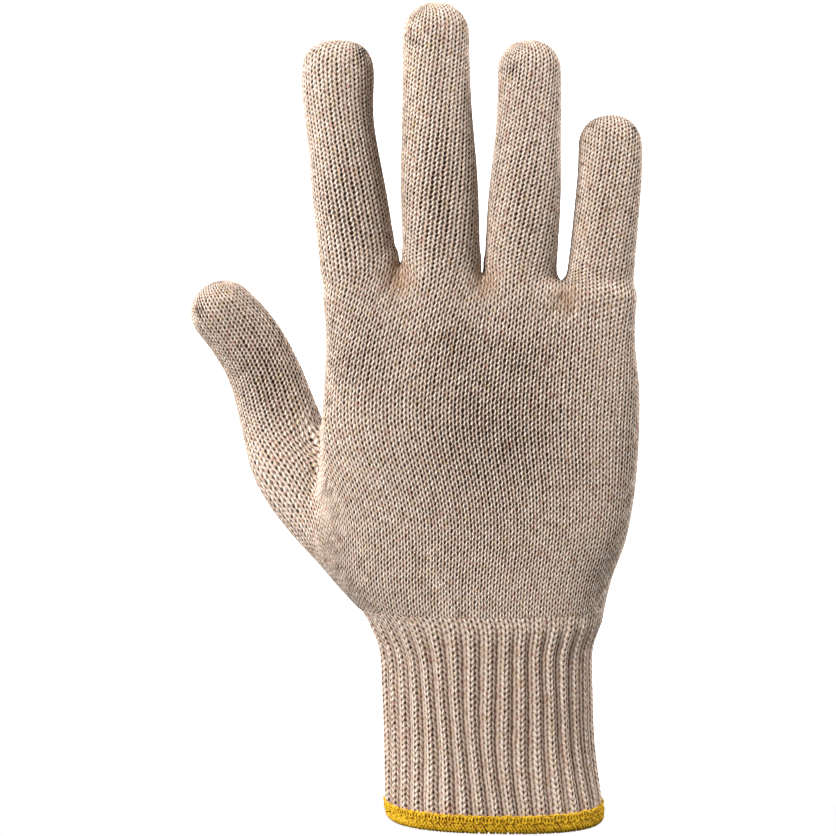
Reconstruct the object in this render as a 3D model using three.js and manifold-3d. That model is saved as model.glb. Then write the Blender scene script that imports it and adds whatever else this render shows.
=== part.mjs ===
// A seamless knitted cotton work glove for the right, in its worn, filled-out form: four finger
// tubes and a thumb tube in jersey, a palm tube that they grow out of, a ribbed cuff,
// and a yellow overlocked hem. Every piece is a hollow wall of knitted fabric.
// Millimetres. X runs to the little finger, Y from the glove's back to its palm side, Z up the
// fingers. The origin is the middle of the cuff's mouth, in the plane of the hem's lower edge.
import * as THREE from "three";
import Module from "manifold-3d";

const wasm = await Module();
wasm.setup();

// Fabric
const JERSEY_WALL = 1.5;
const CUFF_WALL = 1.5; // in the valleys between the ribs
const RIB_RISE = 0.8; // how far a rib stands out of the valleys
const RIBS = 36;
const SEAT_GAP = 0.3; // between two pieces that meet

// Cuff and hem
const CUFF_LENGTH = 59.5; // hem's lower edge to the wrist
const HEM_WIDTH = 64.6;
const HEM_DEPTH = 44;
const CUFF_WAIST_WIDTH = 62.4;
const CUFF_WAIST_DEPTH = 41.5;
const WRIST_WIDTH = 69.5;
const WRIST_DEPTH = 42;
const WRIST_SHIFT = -2; // the wrist's middle stands this far to the thumb's side of the mouth's
const HEM_HEIGHT = 5.6;
const HEM_THREAD = 0.9; // thickness of the thread over each side of the edge
const HEM_PROUD = 0.25; // the hem stands this far out of the ribs

// Palm
const PALM_HEIGHT = 104.7; // wrist to the crotch beside the middle finger
const PALM_WIDTH = 93.6;
const PALM_SHIFT = -4.1; // the palm's middle stands this far to the thumb's side of the mouth's
const KNUCKLE_SHIFT = -4.7; // and the row of knuckles' middle
const PALM_DEPTH = 32;
const KNUCKLE_DEPTH = 25;
const PALM_TOP_DROP = 2.5; // the palm's rounded top ends this far under the crotches
const PALM_TOP_SLOPE = 4; // degrees that the line of the knuckles falls to the little finger
const PALM_SQUARENESS = 2.3; // 2 is an ellipse
const KNUCKLE_SQUARENESS = 2.9;

// Fingers
const FINGER_WIDTH = 22.8; // the middle finger's, at its base
const FINGER_REACH = 77.8; // the middle finger's, from its base to its tip
const FINGER_CURL = 8; // how far the middle fingertip bends towards the palm
const WEB_GAP = 1.4; // between the index finger's base and the middle finger's
const FOOT_DROP = 6.4; // how far the little finger's base stands below the middle finger's

// Left to right in the view of the back. base, knuckle, waist and pad are widths from side to
// side, at the base, the middle knuckle, the waist above it and the pad, as shares of
// FINGER_WIDTH. reach, drift (the tip's lean to +X) and set (how far the base stands towards the
// palm) are shares of FINGER_REACH, and curl, foot and gap (to the finger on the left) are shares
// of the sizes above. tilt is the base's fall to +X in degrees, and lean says to which side the
// root goes under the palm's edge.
const FINGER_SHARES = [
  { name: "index_finger", base: 1.009, knuckle: 0.965, waist: 0.886, pad: 0.947, reach: 0.856,
    drift: -0.082, set: 0.018, curl: 1, foot: 0, gap: 0, tilt: 0, lean: 1 },
  { name: "middle_finger", base: 1, knuckle: 1, waist: 0.904, pad: 0.868, reach: 1,
    drift: -0.022, set: -0.005, curl: 1, foot: 0, gap: 1, tilt: 0, lean: 0 },
  { name: "ring_finger", base: 0.934, knuckle: 0.939, waist: 0.851, pad: 0.825, reach: 0.892,
    drift: 0.037, set: 0.003, curl: 1.125, foot: -0.375, gap: 0.64, tilt: 8, lean: 0 },
  { name: "little_finger", base: 0.877, knuckle: 0.851, waist: 0.842, pad: 0.833, reach: 0.661,
    drift: 0.046, set: 0.028, curl: 1.25, foot: -1, gap: 2, tilt: 4, lean: -1 },
];
const SHARE_OF = {
  base: FINGER_WIDTH, knuckle: FINGER_WIDTH, waist: FINGER_WIDTH, pad: FINGER_WIDTH,
  reach: FINGER_REACH, drift: FINGER_REACH, set: FINGER_REACH,
  curl: FINGER_CURL, foot: FOOT_DROP, gap: WEB_GAP,
};
const FINGERS = FINGER_SHARES.map((row) => Object.fromEntries(
  Object.entries(row).map(([key, value]) => [key, key in SHARE_OF ? value * SHARE_OF[key] : value]),
));
const FINGER_THICKNESS = 0.88; // of its width, from back to pad
const ROOT_DEPTH = 15; // how far a finger's root runs down inside the palm
const ROOT_SPREAD = 2.4; // how much wider each side of the root grows, so that neighbours merge
const ROOT_LEAN = 1.2; // how far an outer finger's root moves in under the palm's edge
const ROOT_THINNING = 0.08;

// Thumb: its tip's place from the palm's thumb-side edge and the wrist, and its widths
const THUMB_SPREAD = 35.8;
const THUMB_RISE = 97.8;
const THUMB_FORWARD = 17;
const THUMB_BASE_WIDTH = 23.2;

// How a finger changes from base (up 0) to tip (up 1): shares of its drift and of its curl
const FINGER_ROWS = [
  { up: 0, drift: 0, curl: 0 },
  { up: 0.2, drift: 0.28, curl: 0.05 },
  { up: 0.45, drift: 0.64, curl: 0.25 },
  { up: 0.7, drift: 0.95, curl: 0.55 },
  { up: 1, drift: 1, curl: 1 },
];
// Where along a finger its four widths are measured
const WIDTH_AT = { base: 0, knuckle: 0.32, waist: 0.6, pad: 0.82 };

// The thumb from its root inside the palm to its tip. out, up and forward are shares of the three
// thumb sizes above, width is a share of the base width, thick a share of the width.
const THUMB_ROWS = [
  { out: -0.85, up: 0.16, forward: 0.2, width: 1.2, thick: 0.75 },
  { out: -0.22, up: 0.285, forward: 0.45, width: 1.28, thick: 0.8 },
  { out: 0.2, up: 0.44, forward: 0.8, width: 1.13, thick: 0.88 },
  { out: 0.36, up: 0.582, forward: 1, width: 1, thick: 0.9 },
  { out: 0.49, up: 0.744, forward: 1, width: 0.94, thick: 0.88 },
  { out: 0.68, up: 0.868, forward: 0.9, width: 0.9, thick: 0.86 },
  { out: 1, up: 1, forward: 0.72, width: 0.8, thick: 0.84 },
];
const THUMB_BASE_ROW = 3; // the row where the free thumb leaves the palm

// The palm from the wrist (up 0) to the crotches (up 1). wide goes from the wrist's width (0) to
// the palm's (1), shift from the wrist's middle to the palm's. wristDeep and knuckleDeep are how
// far the palm's own depth gives way to those two, and slope how much of PALM_TOP_SLOPE is there.
const PALM_ROWS = [
  { up: 0, wide: 0, shift: 0, wristDeep: 1, knuckleDeep: 0, slope: 0 },
  { up: 0.06, wide: 0.26, shift: 0.9, wristDeep: 0.9, knuckleDeep: 0, slope: 0 },
  { up: 0.13, wide: 0.57, shift: 1.8, wristDeep: 0.72, knuckleDeep: 0, slope: 0 },
  { up: 0.22, wide: 0.86, shift: 1.8, wristDeep: 0.45, knuckleDeep: 0, slope: 0 },
  { up: 0.34, wide: 0.98, shift: 1.3, wristDeep: 0.15, knuckleDeep: 0, slope: 0 },
  { up: 0.5, wide: 1.02, shift: 0.85, wristDeep: 0, knuckleDeep: 0.15, slope: 0 },
  { up: 0.66, wide: 0.98, shift: 0.6, wristDeep: 0, knuckleDeep: 0.5, slope: 0.1 },
  { up: 0.8, wide: 0.87, shift: 0.75, wristDeep: 0, knuckleDeep: 1.1, slope: 0.5 },
  { up: 0.9, wide: 0.87, shift: 0.75, wristDeep: 0, knuckleDeep: 1.7, slope: 1 },
];

// The cuff's crest line from the mouth (up 0) to the wrist (up 1): how much of the mouth's, the
// waist's and the wrist's own size each row takes, and how far the ribs stand out there.
const CUFF_ROWS = [
  { up: 0.13, mouth: 0.85, wrist: 0, ribs: 1 },
  { up: 0.36, mouth: 0.1, wrist: 0, ribs: 1 },
  { up: 0.66, mouth: 0, wrist: 0, ribs: 1 },
  { up: 0.86, mouth: 0, wrist: 0.13, ribs: 1 },
  { up: 1, mouth: 0, wrist: 1, ribs: 0.35 },
];

// Facets
const FINGER_SIDES = 18;
const PALM_SIDES = 32;
const RIB_FACETS = 4;
const CUFF_INNER_SIDES = 48;
const HEM_SIDES = 48;
const DOME_ANGLES = [0, 30, 58]; // latitudes of a fingertip's rings, in degrees
const FINGER_LEVELS = [0, 0.16, 0.32, 0.46, 0.6, 0.72, 0.82];

const UP = new THREE.Vector3(0, 0, 1);
const ACROSS = new THREE.Vector3(1, 0, 0);

// The value of one column at a place along a table, on a smooth curve through its rows
function along(rows, place, column, by = "up") {
  const last = rows.length - 1;
  let i = 0;
  while (i < last - 1 && place > rows[i + 1][by]) i += 1;
  const slope = (k) => {
    const a = rows[Math.max(k - 1, 0)];
    const b = rows[Math.min(k + 1, last)];
    return (b[column] - a[column]) / (b[by] - a[by]);
  };
  const step = rows[i + 1][by] - rows[i][by];
  const t = (place - rows[i][by]) / step;
  const rise = rows[i + 1][column] - rows[i][column];
  const ease = t * t * (3 - 2 * t);
  const bend = t * (1 - t) * ((1 - t) * slope(i) - t * slope(i + 1)) * step;
  return rows[i][column] + rise * ease + bend;
}

// A section is an oval with a middle, a side and a depth direction, and its two half sizes
function section(middle, heading, halfWidth, halfDepth, squareness = 2) {
  const side = ACROSS.clone().addScaledVector(heading, -ACROSS.dot(heading)).normalize();
  const depth = new THREE.Vector3().crossVectors(heading, side);
  return { middle, side, depth, heading, halfWidth, halfDepth, squareness };
}

// The same section with its edge moved inwards
function inset(s, by) {
  return { ...s, halfWidth: s.halfWidth - by, halfDepth: s.halfDepth - by };
}

function ringPoint(s, angle) {
  const bow = (value) => Math.sign(value) * Math.abs(value) ** (2 / s.squareness);
  return s.middle.clone()
    .addScaledVector(s.side, s.halfWidth * bow(Math.cos(angle)))
    .addScaledVector(s.depth, s.halfDepth * bow(Math.sin(angle)));
}

// A closed solid through rings of points, from the lowest ring to the highest. A tip, if there
// is one, closes the top with a point, and otherwise both ends are flat.
function throughRings(rings, tip = null) {
  const sides = rings[0].length;
  const points = rings.flat();
  const faces = [];
  for (let j = 0; j + 1 < rings.length; j += 1) {
    for (let i = 0; i < sides; i += 1) {
      const next = (i + 1) % sides;
      const [a, b] = [j * sides + i, j * sides + next];
      faces.push(a, b, b + sides, a, b + sides, a + sides);
    }
  }
  const middle = (ring) => ring.reduce((sum, p) => sum.add(p), new THREE.Vector3())
    .divideScalar(sides);
  const bottom = points.push(middle(rings[0])) - 1;
  const top = points.push(tip ?? middle(rings.at(-1))) - 1;
  const highest = (rings.length - 1) * sides;
  for (let i = 0; i < sides; i += 1) {
    const next = (i + 1) % sides;
    faces.push(bottom, next, i, top, highest + i, highest + next);
  }
  return toSolid(points, faces);
}

function toSolid(points, faces) {
  return new wasm.Manifold(new wasm.Mesh({
    numProp: 3,
    vertProperties: Float32Array.from(points.flatMap((p) => [p.x, p.y, p.z])),
    triVerts: Uint32Array.from(faces),
  }));
}

function loft(sections, sides, tip = null) {
  const turn = (2 * Math.PI) / sides;
  const ring = (s) => Array.from({ length: sides }, (_, i) => ringPoint(s, i * turn));
  return throughRings(sections.map(ring), tip);
}

function joined(solids) {
  return solids.reduce((sum, s) => sum.add(s));
}

// A limb is a finger or the thumb: an axis, its widths, and the place where it leaves the palm
function fingerLimb(finger, baseX) {
  const widths = Object.entries(WIDTH_AT).map(([name, up]) => ({ up, width: finger[name] }));
  const baseZ = CUFF_LENGTH + PALM_HEIGHT + finger.foot;
  const place = (up) => new THREE.Vector3(
    baseX + finger.drift * along(FINGER_ROWS, up, "drift"),
    finger.set + finger.curl * along(FINGER_ROWS, up, "curl"),
    baseZ + finger.reach * up,
  );
  const halfWidth = (up) => along(widths, Math.min(up, WIDTH_AT.pad), "width") / 2;
  const half = halfWidth(1);
  const domeFrom = 1 - half / finger.reach;
  const tilt = THREE.MathUtils.degToRad(finger.tilt);
  const heading = (up) => {
    const small = 0.01;
    const ahead = place(Math.min(up + small, 1)).sub(place(Math.max(up - small, 0))).normalize();
    const fade = Math.max(0, 1 - up / WIDTH_AT.knuckle);
    return ahead.applyAxisAngle(new THREE.Vector3(0, 1, 0), tilt * fade).normalize();
  };
  const at = (up, scale = 1) => {
    const w = halfWidth(up) * scale;
    return section(place(up), heading(up), w, w * FINGER_THICKNESS);
  };
  const levels = FINGER_LEVELS.filter((up) => up < domeFrom);
  const shaft = levels.map((up) => at(up));
  const dome = (by) => DOME_ANGLES.map((angle) => {
    const a = THREE.MathUtils.degToRad(angle);
    const up = domeFrom + ((1 - domeFrom) - by / finger.reach) * Math.sin(a);
    const s = inset(at(domeFrom), by);
    const scale = Math.cos(a);
    return { ...s, middle: place(up), halfWidth: s.halfWidth * scale,
      halfDepth: s.halfDepth * scale };
  });
  const tip = (by) => place(1 - by / finger.reach);
  const base = at(0);
  const root = (share) => {
    const spread = ROOT_SPREAD * Math.sqrt(share);
    const middle = base.middle.clone().addScaledVector(base.heading, -ROOT_DEPTH * share);
    middle.x += finger.lean * (spread + ROOT_LEAN * share);
    return { ...base, middle, halfWidth: base.halfWidth + spread,
      halfDepth: base.halfDepth * (1 - ROOT_THINNING * share) };
  };
  return { name: finger.name, shaft, dome, tip, roots: [1, 0.45, 0.15, 0].map(root) };
}

function palmLeft() {
  return PALM_SHIFT - PALM_WIDTH / 2;
}

function thumbLimb() {
  const place = (row) => new THREE.Vector3(
    palmLeft() - THUMB_SPREAD * row.out,
    THUMB_FORWARD * row.forward,
    CUFF_LENGTH + THUMB_RISE * row.up,
  );
  const rows = THUMB_ROWS.map((row, i) => ({ ...row, step: i }));
  const half = (step) => (THUMB_BASE_WIDTH * along(rows, step, "width", "step")) / 2;
  const spot = (step) => place({
    out: along(rows, step, "out", "step"),
    up: along(rows, step, "up", "step"),
    forward: along(rows, step, "forward", "step"),
  });
  const last = rows.length - 1;
  const length = spot(last).distanceTo(spot(last - 1));
  const domeFrom = last - half(last) / length;
  const at = (step) => {
    const small = 0.05;
    const heading = spot(Math.min(step + small, last)).sub(spot(step - small)).normalize();
    const thick = along(rows, step, "thick", "step");
    return section(spot(step), heading, half(step), half(step) * thick);
  };
  const free = [0, 0.5, 1, 1.5, 2].map((more) => THUMB_BASE_ROW + more);
  const shaft = free.filter((step) => step < domeFrom).map(at);
  const dome = (by) => DOME_ANGLES.map((angle) => {
    const a = THREE.MathUtils.degToRad(angle);
    const s = inset(at(domeFrom), by);
    const step = domeFrom + (last - domeFrom - by / length) * Math.sin(a);
    return { ...s, middle: spot(step), halfWidth: s.halfWidth * Math.cos(a),
      halfDepth: s.halfDepth * Math.cos(a) };
  });
  const tip = (by) => spot(last - by / length);
  const roots = [0, 1, 2, THUMB_BASE_ROW].map((step) => at(Math.max(step, 0.05)));
  return { name: "thumb", shaft, dome, tip, roots };
}

// A limb's wall from the place where it leaves the palm to its closed tip
function limbShell(limb) {
  const lifted = (s, by) => ({ ...s, middle: s.middle.clone().addScaledVector(s.heading, by) });
  const [first, ...others] = limb.shaft;
  const outer = loft([lifted(first, SEAT_GAP), ...others, ...limb.dome(0)],
    FINGER_SIDES, limb.tip(0));
  const hollow = [lifted(first, -1), first, ...others].map((s) => inset(s, JERSEY_WALL));
  const inner = loft([...hollow, ...limb.dome(JERSEY_WALL)], FINGER_SIDES,
    limb.tip(JERSEY_WALL));
  return outer.subtract(inner);
}

// The stretch of a limb that lies in the palm's own fabric, inset by the wall for the hollow
function limbRoot(limb, by) {
  const sections = limb.roots.map((s) => inset(s, by));
  if (by > 0) {
    const end = sections.at(-1);
    sections.push({ ...end, middle: end.middle.clone().addScaledVector(end.heading, by) });
  }
  return loft(sections, FINGER_SIDES);
}

function palmSection(up) {
  const value = (column) => along(PALM_ROWS, up, column);
  const shift = WRIST_SHIFT + (PALM_SHIFT - WRIST_SHIFT) * value("shift");
  const width = WRIST_WIDTH + (PALM_WIDTH - WRIST_WIDTH) * value("wide");
  const depth = PALM_DEPTH + (WRIST_DEPTH - PALM_DEPTH) * value("wristDeep")
    + (KNUCKLE_DEPTH - PALM_DEPTH) * value("knuckleDeep");
  const middle = new THREE.Vector3(shift, 0, CUFF_LENGTH + PALM_HEIGHT * up);
  const squareness = 2 + (PALM_SQUARENESS - 2) * Math.min(1, up * 4)
    + (KNUCKLE_SQUARENESS - PALM_SQUARENESS) * Math.max(0, value("knuckleDeep"));
  const slope = THREE.MathUtils.degToRad(PALM_TOP_SLOPE * value("slope"));
  const heading = UP.clone().applyAxisAngle(new THREE.Vector3(0, 1, 0), slope);
  return section(middle, heading, width / 2, depth / 2, squareness);
}

function palmLoft(by) {
  const rows = PALM_ROWS.map((row) => inset(palmSection(row.up), by));
  const top = rows.at(-1);
  const ceiling = CUFF_LENGTH + PALM_HEIGHT - PALM_TOP_DROP - by;
  const lip = Math.min(...FINGERS.map((f) => f.foot)) / 2;
  const cap = [0.5, 0.86].map((s) => ({
    ...top,
    middle: new THREE.Vector3(top.middle.x, 0,
      top.middle.z + (ceiling + lip - top.middle.z) * s),
    halfWidth: top.halfWidth - PALM_TOP_DROP * (s ** 3),
    halfDepth: top.halfDepth * Math.sqrt(1 - (0.9 * s) ** 2),
  }));
  const foot = rows[0];
  const low = by > 0 ? -by : SEAT_GAP;
  const start = { ...foot, middle: foot.middle.clone().setZ(CUFF_LENGTH + low) };
  return loft([start, ...rows.slice(1), ...cap], PALM_SIDES);
}

function palmShell(limbs) {
  const outer = joined([palmLoft(0), ...limbs.map((limb) => limbRoot(limb, 0))]);
  const inner = joined([palmLoft(JERSEY_WALL), ...limbs.map((l) => limbRoot(l, JERSEY_WALL))]);
  return outer.subtract(inner);
}

// The cuff's crest line at a height, before the ribs are cut back from it
function crest(row) {
  const waist = 1 - row.mouth - row.wrist;
  const size = (mouth, middle, wrist) => mouth * row.mouth + middle * waist + wrist * row.wrist;
  const middle = new THREE.Vector3(WRIST_SHIFT * row.up, 0, CUFF_LENGTH * row.up);
  return section(middle, UP, size(HEM_WIDTH, CUFF_WAIST_WIDTH, WRIST_WIDTH) / 2,
    size(HEM_DEPTH, CUFF_WAIST_DEPTH, WRIST_DEPTH) / 2);
}

// Half a turn of the ribs' cosine is a rib, cut off flat at its top
function ribbedRing(s, ribs) {
  const points = RIBS * RIB_FACETS;
  const turn = (2 * Math.PI) / points;
  const depths = [0, 0.35, 1, 0.35];
  return Array.from({ length: points }, (_, i) => {
    const cut = depths[i % RIB_FACETS] * RIB_RISE * ribs + RIB_RISE * (1 - ribs);
    return ringPoint(inset(s, cut), i * turn);
  });
}

function ribCuff() {
  const edge = HEM_THREAD + SEAT_GAP; // height of the fabric's lower edge inside the hem
  const [mouth] = CUFF_ROWS;
  const tongue = (z) => {
    const s = crest({ ...mouth, up: 0 });
    return ribbedRing({ ...s, middle: s.middle.clone().setZ(z) }, 0);
  };
  const rows = CUFF_ROWS.filter((row) => row.up * CUFF_LENGTH > HEM_HEIGHT + SEAT_GAP);
  const outer = throughRings([tongue(edge), tongue(HEM_HEIGHT + SEAT_GAP),
    ...rows.map((row) => ribbedRing(crest(row), row.ribs))]);
  const bore = (row, z) => {
    const s = inset(crest(row), RIB_RISE + CUFF_WALL);
    return { ...s, middle: s.middle.clone().setZ(z) };
  };
  const [low, high] = [{ ...mouth, up: 0 }, CUFF_ROWS.at(-1)];
  const inner = loft([bore(low, -1), bore(low, HEM_HEIGHT + SEAT_GAP),
    ...rows.slice(0, -1).map((row) => bore(row, row.up * CUFF_LENGTH)),
    bore(high, CUFF_LENGTH + 1)], CUFF_INNER_SIDES);
  return outer.subtract(inner);
}

// The overlocking thread closes over the cuff's raw edge: a ring whose cross-section is a U.
// Its profile is listed as distance from the crest line (outwards) and height.
function overlockHem() {
  const out = HEM_PROUD;
  const fabricOut = -RIB_RISE + SEAT_GAP;
  const fabricIn = -RIB_RISE - CUFF_WALL - SEAT_GAP;
  const within = fabricIn - HEM_THREAD;
  const soft = HEM_THREAD * 0.6; // how much the two outer corners are rounded off
  const profile = [
    [out, soft], [out, HEM_HEIGHT - soft], [out - soft, HEM_HEIGHT],
    [fabricOut, HEM_HEIGHT], [fabricOut, HEM_THREAD], [fabricIn, HEM_THREAD],
    [fabricIn, HEM_HEIGHT], [within, HEM_HEIGHT], [within, soft],
    [within + soft, 0], [out - soft, 0],
  ];
  const line = crest({ ...CUFF_ROWS[0], up: 0 });
  const points = [];
  const faces = [];
  for (let i = 0; i < HEM_SIDES; i += 1) {
    const angle = (2 * Math.PI * i) / HEM_SIDES;
    profile.forEach(([outwards, z], j) => {
      points.push(ringPoint(inset(line, -outwards), angle).setZ(z));
      const a = i * profile.length + j;
      const b = i * profile.length + ((j + 1) % profile.length);
      const over = (k) => (k + profile.length) % (HEM_SIDES * profile.length);
      faces.push(a, over(a), over(b), a, over(b), b);
    });
  }
  return toSolid(points, faces);
}

// Fingers stand side by side across the knuckles, each as wide as its own base
function fingerLimbs() {
  const whole = FINGERS.reduce((sum, f) => sum + f.gap + f.base, 0);
  let left = KNUCKLE_SHIFT - whole / 2;
  return FINGERS.map((finger) => {
    const limb = fingerLimb(finger, left + finger.gap + finger.base / 2);
    left += finger.gap + finger.base;
    return limb;
  });
}

function toMesh(name, solid, material) {
  const { vertProperties, triVerts, numProp } = solid.getMesh();
  const positions = new Float32Array((vertProperties.length / numProp) * 3);
  for (let i = 0; i < positions.length / 3; i += 1) {
    positions.set(vertProperties.subarray(i * numProp, i * numProp + 3), i * 3);
  }
  const geometry = new THREE.BufferGeometry();
  geometry.setAttribute("position", new THREE.BufferAttribute(positions, 3));
  geometry.setIndex(new THREE.BufferAttribute(triVerts, 1));
  geometry.computeVertexNormals();
  const mesh = new THREE.Mesh(geometry, material);
  mesh.name = name;
  return mesh;
}

const cotton = () => new THREE.MeshStandardMaterial({
  color: 0xc9b39b, roughness: 0.92, metalness: 0, side: THREE.DoubleSide });
const yellowThread = () => new THREE.MeshStandardMaterial({
  color: 0xe0a80c, roughness: 0.8, metalness: 0, side: THREE.DoubleSide });

const glove = new THREE.Group();
glove.name = "cotton_work_glove";
const limbs = [...fingerLimbs(), thumbLimb()];
for (const limb of limbs) glove.add(toMesh(limb.name, limbShell(limb), cotton()));
glove.add(toMesh("palm", palmShell(limbs), cotton()));
glove.add(toMesh("rib_cuff", ribCuff(), cotton()));
glove.add(toMesh("overlock_hem", overlockHem(), yellowThread()));

export default glove;
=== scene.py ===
# %% [markdown]
# # A knitted cotton work glove
# The glove is a string-knit one: plain jersey fingers, thumb and palm, a ribbed cuff, and a yellow
# overlocked hem. It has its worn, filled-out form, and its back is turned to the camera. Here the
# knitting itself is the mesh: one small square for each stitch, laid out in the order in which a
# glove machine knits them, and then refined and embossed.
# First comes the solid model, which fixes the size and the place of everything.

# %% Load the solid model as the frame
import math
from functools import partial

import bpy
import numpy as np
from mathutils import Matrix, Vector


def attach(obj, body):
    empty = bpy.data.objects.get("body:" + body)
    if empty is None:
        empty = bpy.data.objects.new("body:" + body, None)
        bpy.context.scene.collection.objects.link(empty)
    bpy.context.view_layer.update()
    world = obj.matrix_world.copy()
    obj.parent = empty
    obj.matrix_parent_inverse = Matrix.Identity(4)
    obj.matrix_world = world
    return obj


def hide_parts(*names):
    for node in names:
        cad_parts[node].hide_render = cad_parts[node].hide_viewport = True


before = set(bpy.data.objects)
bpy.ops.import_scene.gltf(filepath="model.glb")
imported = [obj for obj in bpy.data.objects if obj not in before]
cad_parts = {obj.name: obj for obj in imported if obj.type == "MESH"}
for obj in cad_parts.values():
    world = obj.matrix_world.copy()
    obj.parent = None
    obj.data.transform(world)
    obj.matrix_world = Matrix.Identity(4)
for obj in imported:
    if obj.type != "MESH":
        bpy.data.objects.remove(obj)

MM = 0.001
TAU = math.tau
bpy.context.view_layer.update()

# %% [markdown]
# ## Camera
# The photograph looks almost level at the glove's back from a little under a metre: the hem's
# near edge hangs about two per cent of the picture lower than its two ends, which gives a rise
# of some five degrees. A long lens does that. The camera aims at the middle of the glove.

# %% Camera
VIEW_DISTANCE = 0.8
VIEW_RISE = math.radians(5.5)
AIM = Vector((-0.0220, 0.0, 0.1199))
FIELD = 2707.5 / 836  # pixels in a metre at a metre's distance, over the picture's width
SENSOR = 36

eye = bpy.data.cameras.new("camera")
eye.sensor_width = SENSOR
eye.lens = SENSOR * FIELD
camera = bpy.data.objects.new("camera", eye)
bpy.context.scene.collection.objects.link(camera)
towards_viewer = Vector((0, -math.cos(VIEW_RISE), math.sin(VIEW_RISE)))
camera.location = AIM + VIEW_DISTANCE * towards_viewer
camera.rotation_euler = (-towards_viewer).to_track_quat("-Z", "Y").to_euler()
bpy.context.scene.camera = camera
print("camera at", [round(v, 3) for v in camera.location], "lens", round(eye.lens, 1), "mm")

# %% [markdown]
# ## Colour and node helpers
# Colours are picked as sRGB hex, the way a paint chart gives them, and Blender's shaders want
# linear light, so one function converts them. One more function adds a shader node, sets it up
# and links it: a number or a colour is put on a socket, and a node's first output is linked to it.
# Each material gets that function with its own tree already filled in.

# %% Colour and node helpers
def linear_colour(hex_code):
    values = [int(hex_code[i:i + 2], 16) / 255 for i in (1, 3, 5)]
    linear = [v / 12.92 if v <= 0.04045 else ((v + 0.055) / 1.055) ** 2.4 for v in values]
    return (*linear, 1.0)


def add_node(tree, kind, *values, **inputs):
    """The kind is a node's name alone, or a pair of the name and its settings."""
    kind, settings = (kind, {}) if isinstance(kind, str) else kind
    node = tree.nodes.new(kind)
    for name, value in settings.items():
        setattr(node, name, value)
    sockets = [(node.inputs[i], value) for i, value in enumerate(values)]
    sockets += [(node.inputs[key.replace("_", " ")], value) for key, value in inputs.items()]
    for socket, value in sockets:
        if isinstance(value, bpy.types.Node):
            value = value.outputs[0]
        if isinstance(value, bpy.types.NodeSocket):
            tree.links.new(value, socket)
        elif value is not None:
            socket.default_value = value
    return node


def new_material(name):
    material = bpy.data.materials.new(name)
    material.use_nodes = True
    material.node_tree.nodes.clear()
    return material, partial(add_node, material.node_tree)


# %% [markdown]
# ## Studio
# The photograph is cut out on white, so the stage is a round white sweep: a floor well under the
# glove that bends up into a wall all round it. The paper glows like paper lit from behind, so it
# is white from every side. A softbox at the upper left models the glove, and weak ones fill in
# its front and its right edge. Two stronger ones behind it light the sweep and the glove's back.

# %% Studio sweep
FLOOR_LEVEL, FLOOR_RADIUS, BEND, WALL_TOP = -0.35, 1.5, 0.9, 3.2
AROUND = 64

# radius and height of the rings, from the floor's edge up
bends = [math.radians(7.5 * step) for step in range(13)]
profile = [(FLOOR_RADIUS + BEND * math.sin(a), FLOOR_LEVEL + BEND * (1 - math.cos(a)))
           for a in bends] + [(FLOOR_RADIUS + BEND, WALL_TOP)]
sweep = bpy.data.meshes.new("studio_sweep")
turns = [TAU * k / AROUND for k in range(AROUND)]
corners = [(r * math.cos(t), r * math.sin(t), z) for r, z in profile for t in turns]
faces = [tuple(range(AROUND))]
for i in range(len(profile) - 1):
    for k in range(AROUND):
        a, b = i * AROUND + k, i * AROUND + (k + 1) % AROUND
        faces.append((a, b, b + AROUND, a + AROUND))
sweep.from_pydata(corners, [], faces)
sweep.shade_smooth()
# Matt white card: no gloss to speak of, and a glow that takes away the shadows on it.
paper, add = new_material("white_paper")
add("ShaderNodeOutputMaterial", add("ShaderNodeBsdfPrincipled", linear_colour("#fdfdfd"),
                                    Roughness=0.9, Emission_Color=linear_colour("#ffffff"),
                                    Emission_Strength=1.0))
sweep.materials.append(paper)
studio_sweep = bpy.data.objects.new("studio_sweep", sweep)
bpy.context.scene.collection.objects.link(studio_sweep)
studio_sweep.visible_diffuse = False  # the white paper doesn't light the glove
studio_sweep.visible_glossy = False
print(len(faces), "faces in the studio's sweep")

# %% Studio lights
LIGHTS = [
    # name, place, aim, width, height, watts
    ("key_softbox", (-1.25, -1.25, 0.95), (0, 0, 0.12), 0.6, 0.7, 60),
    ("fill_softbox", (0.4, -1.8, 0.3), (0, 0, 0.12), 1.2, 1.2, 5.0),
    ("low_fill", (0.0, -1.6, -0.1), (0, 0, 0.1), 1.2, 0.5, 1.5),
    ("right_rim_light", (1.6, -0.3, 0.3), (0, 0, 0.15), 0.8, 0.8, 7),
    ("sweep_light_left", (-1.6, 0.4, 1.6), (-0.2, 1.9, 0.3), 1.2, 1.2, 75),
    ("sweep_light_right", (1.6, 0.4, 1.6), (0.2, 1.9, 0.3), 1.2, 1.2, 95),
]
for name, place, aim, width, height, watts in LIGHTS:
    lamp = bpy.data.lights.new(name, "AREA")
    lamp.shape, lamp.size, lamp.size_y, lamp.energy = "RECTANGLE", width, height, watts
    light = bpy.data.objects.new(name, lamp)
    light.location = place
    light.rotation_euler = (Vector(aim) - Vector(place)).to_track_quat("-Z", "Y").to_euler()
    bpy.context.scene.collection.objects.link(light)

AIR_GLOW = 0.04
sky = bpy.data.worlds.new("studio_air")
sky.use_nodes = True
sky.node_tree.nodes["Background"].inputs["Color"].default_value = (1, 1, 1, 1)
sky.node_tree.nodes["Background"].inputs["Strength"].default_value = AIR_GLOW
bpy.context.scene.world = sky
bpy.context.scene.view_settings.view_transform = "Standard"
print(len(LIGHTS), "softboxes")

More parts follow.
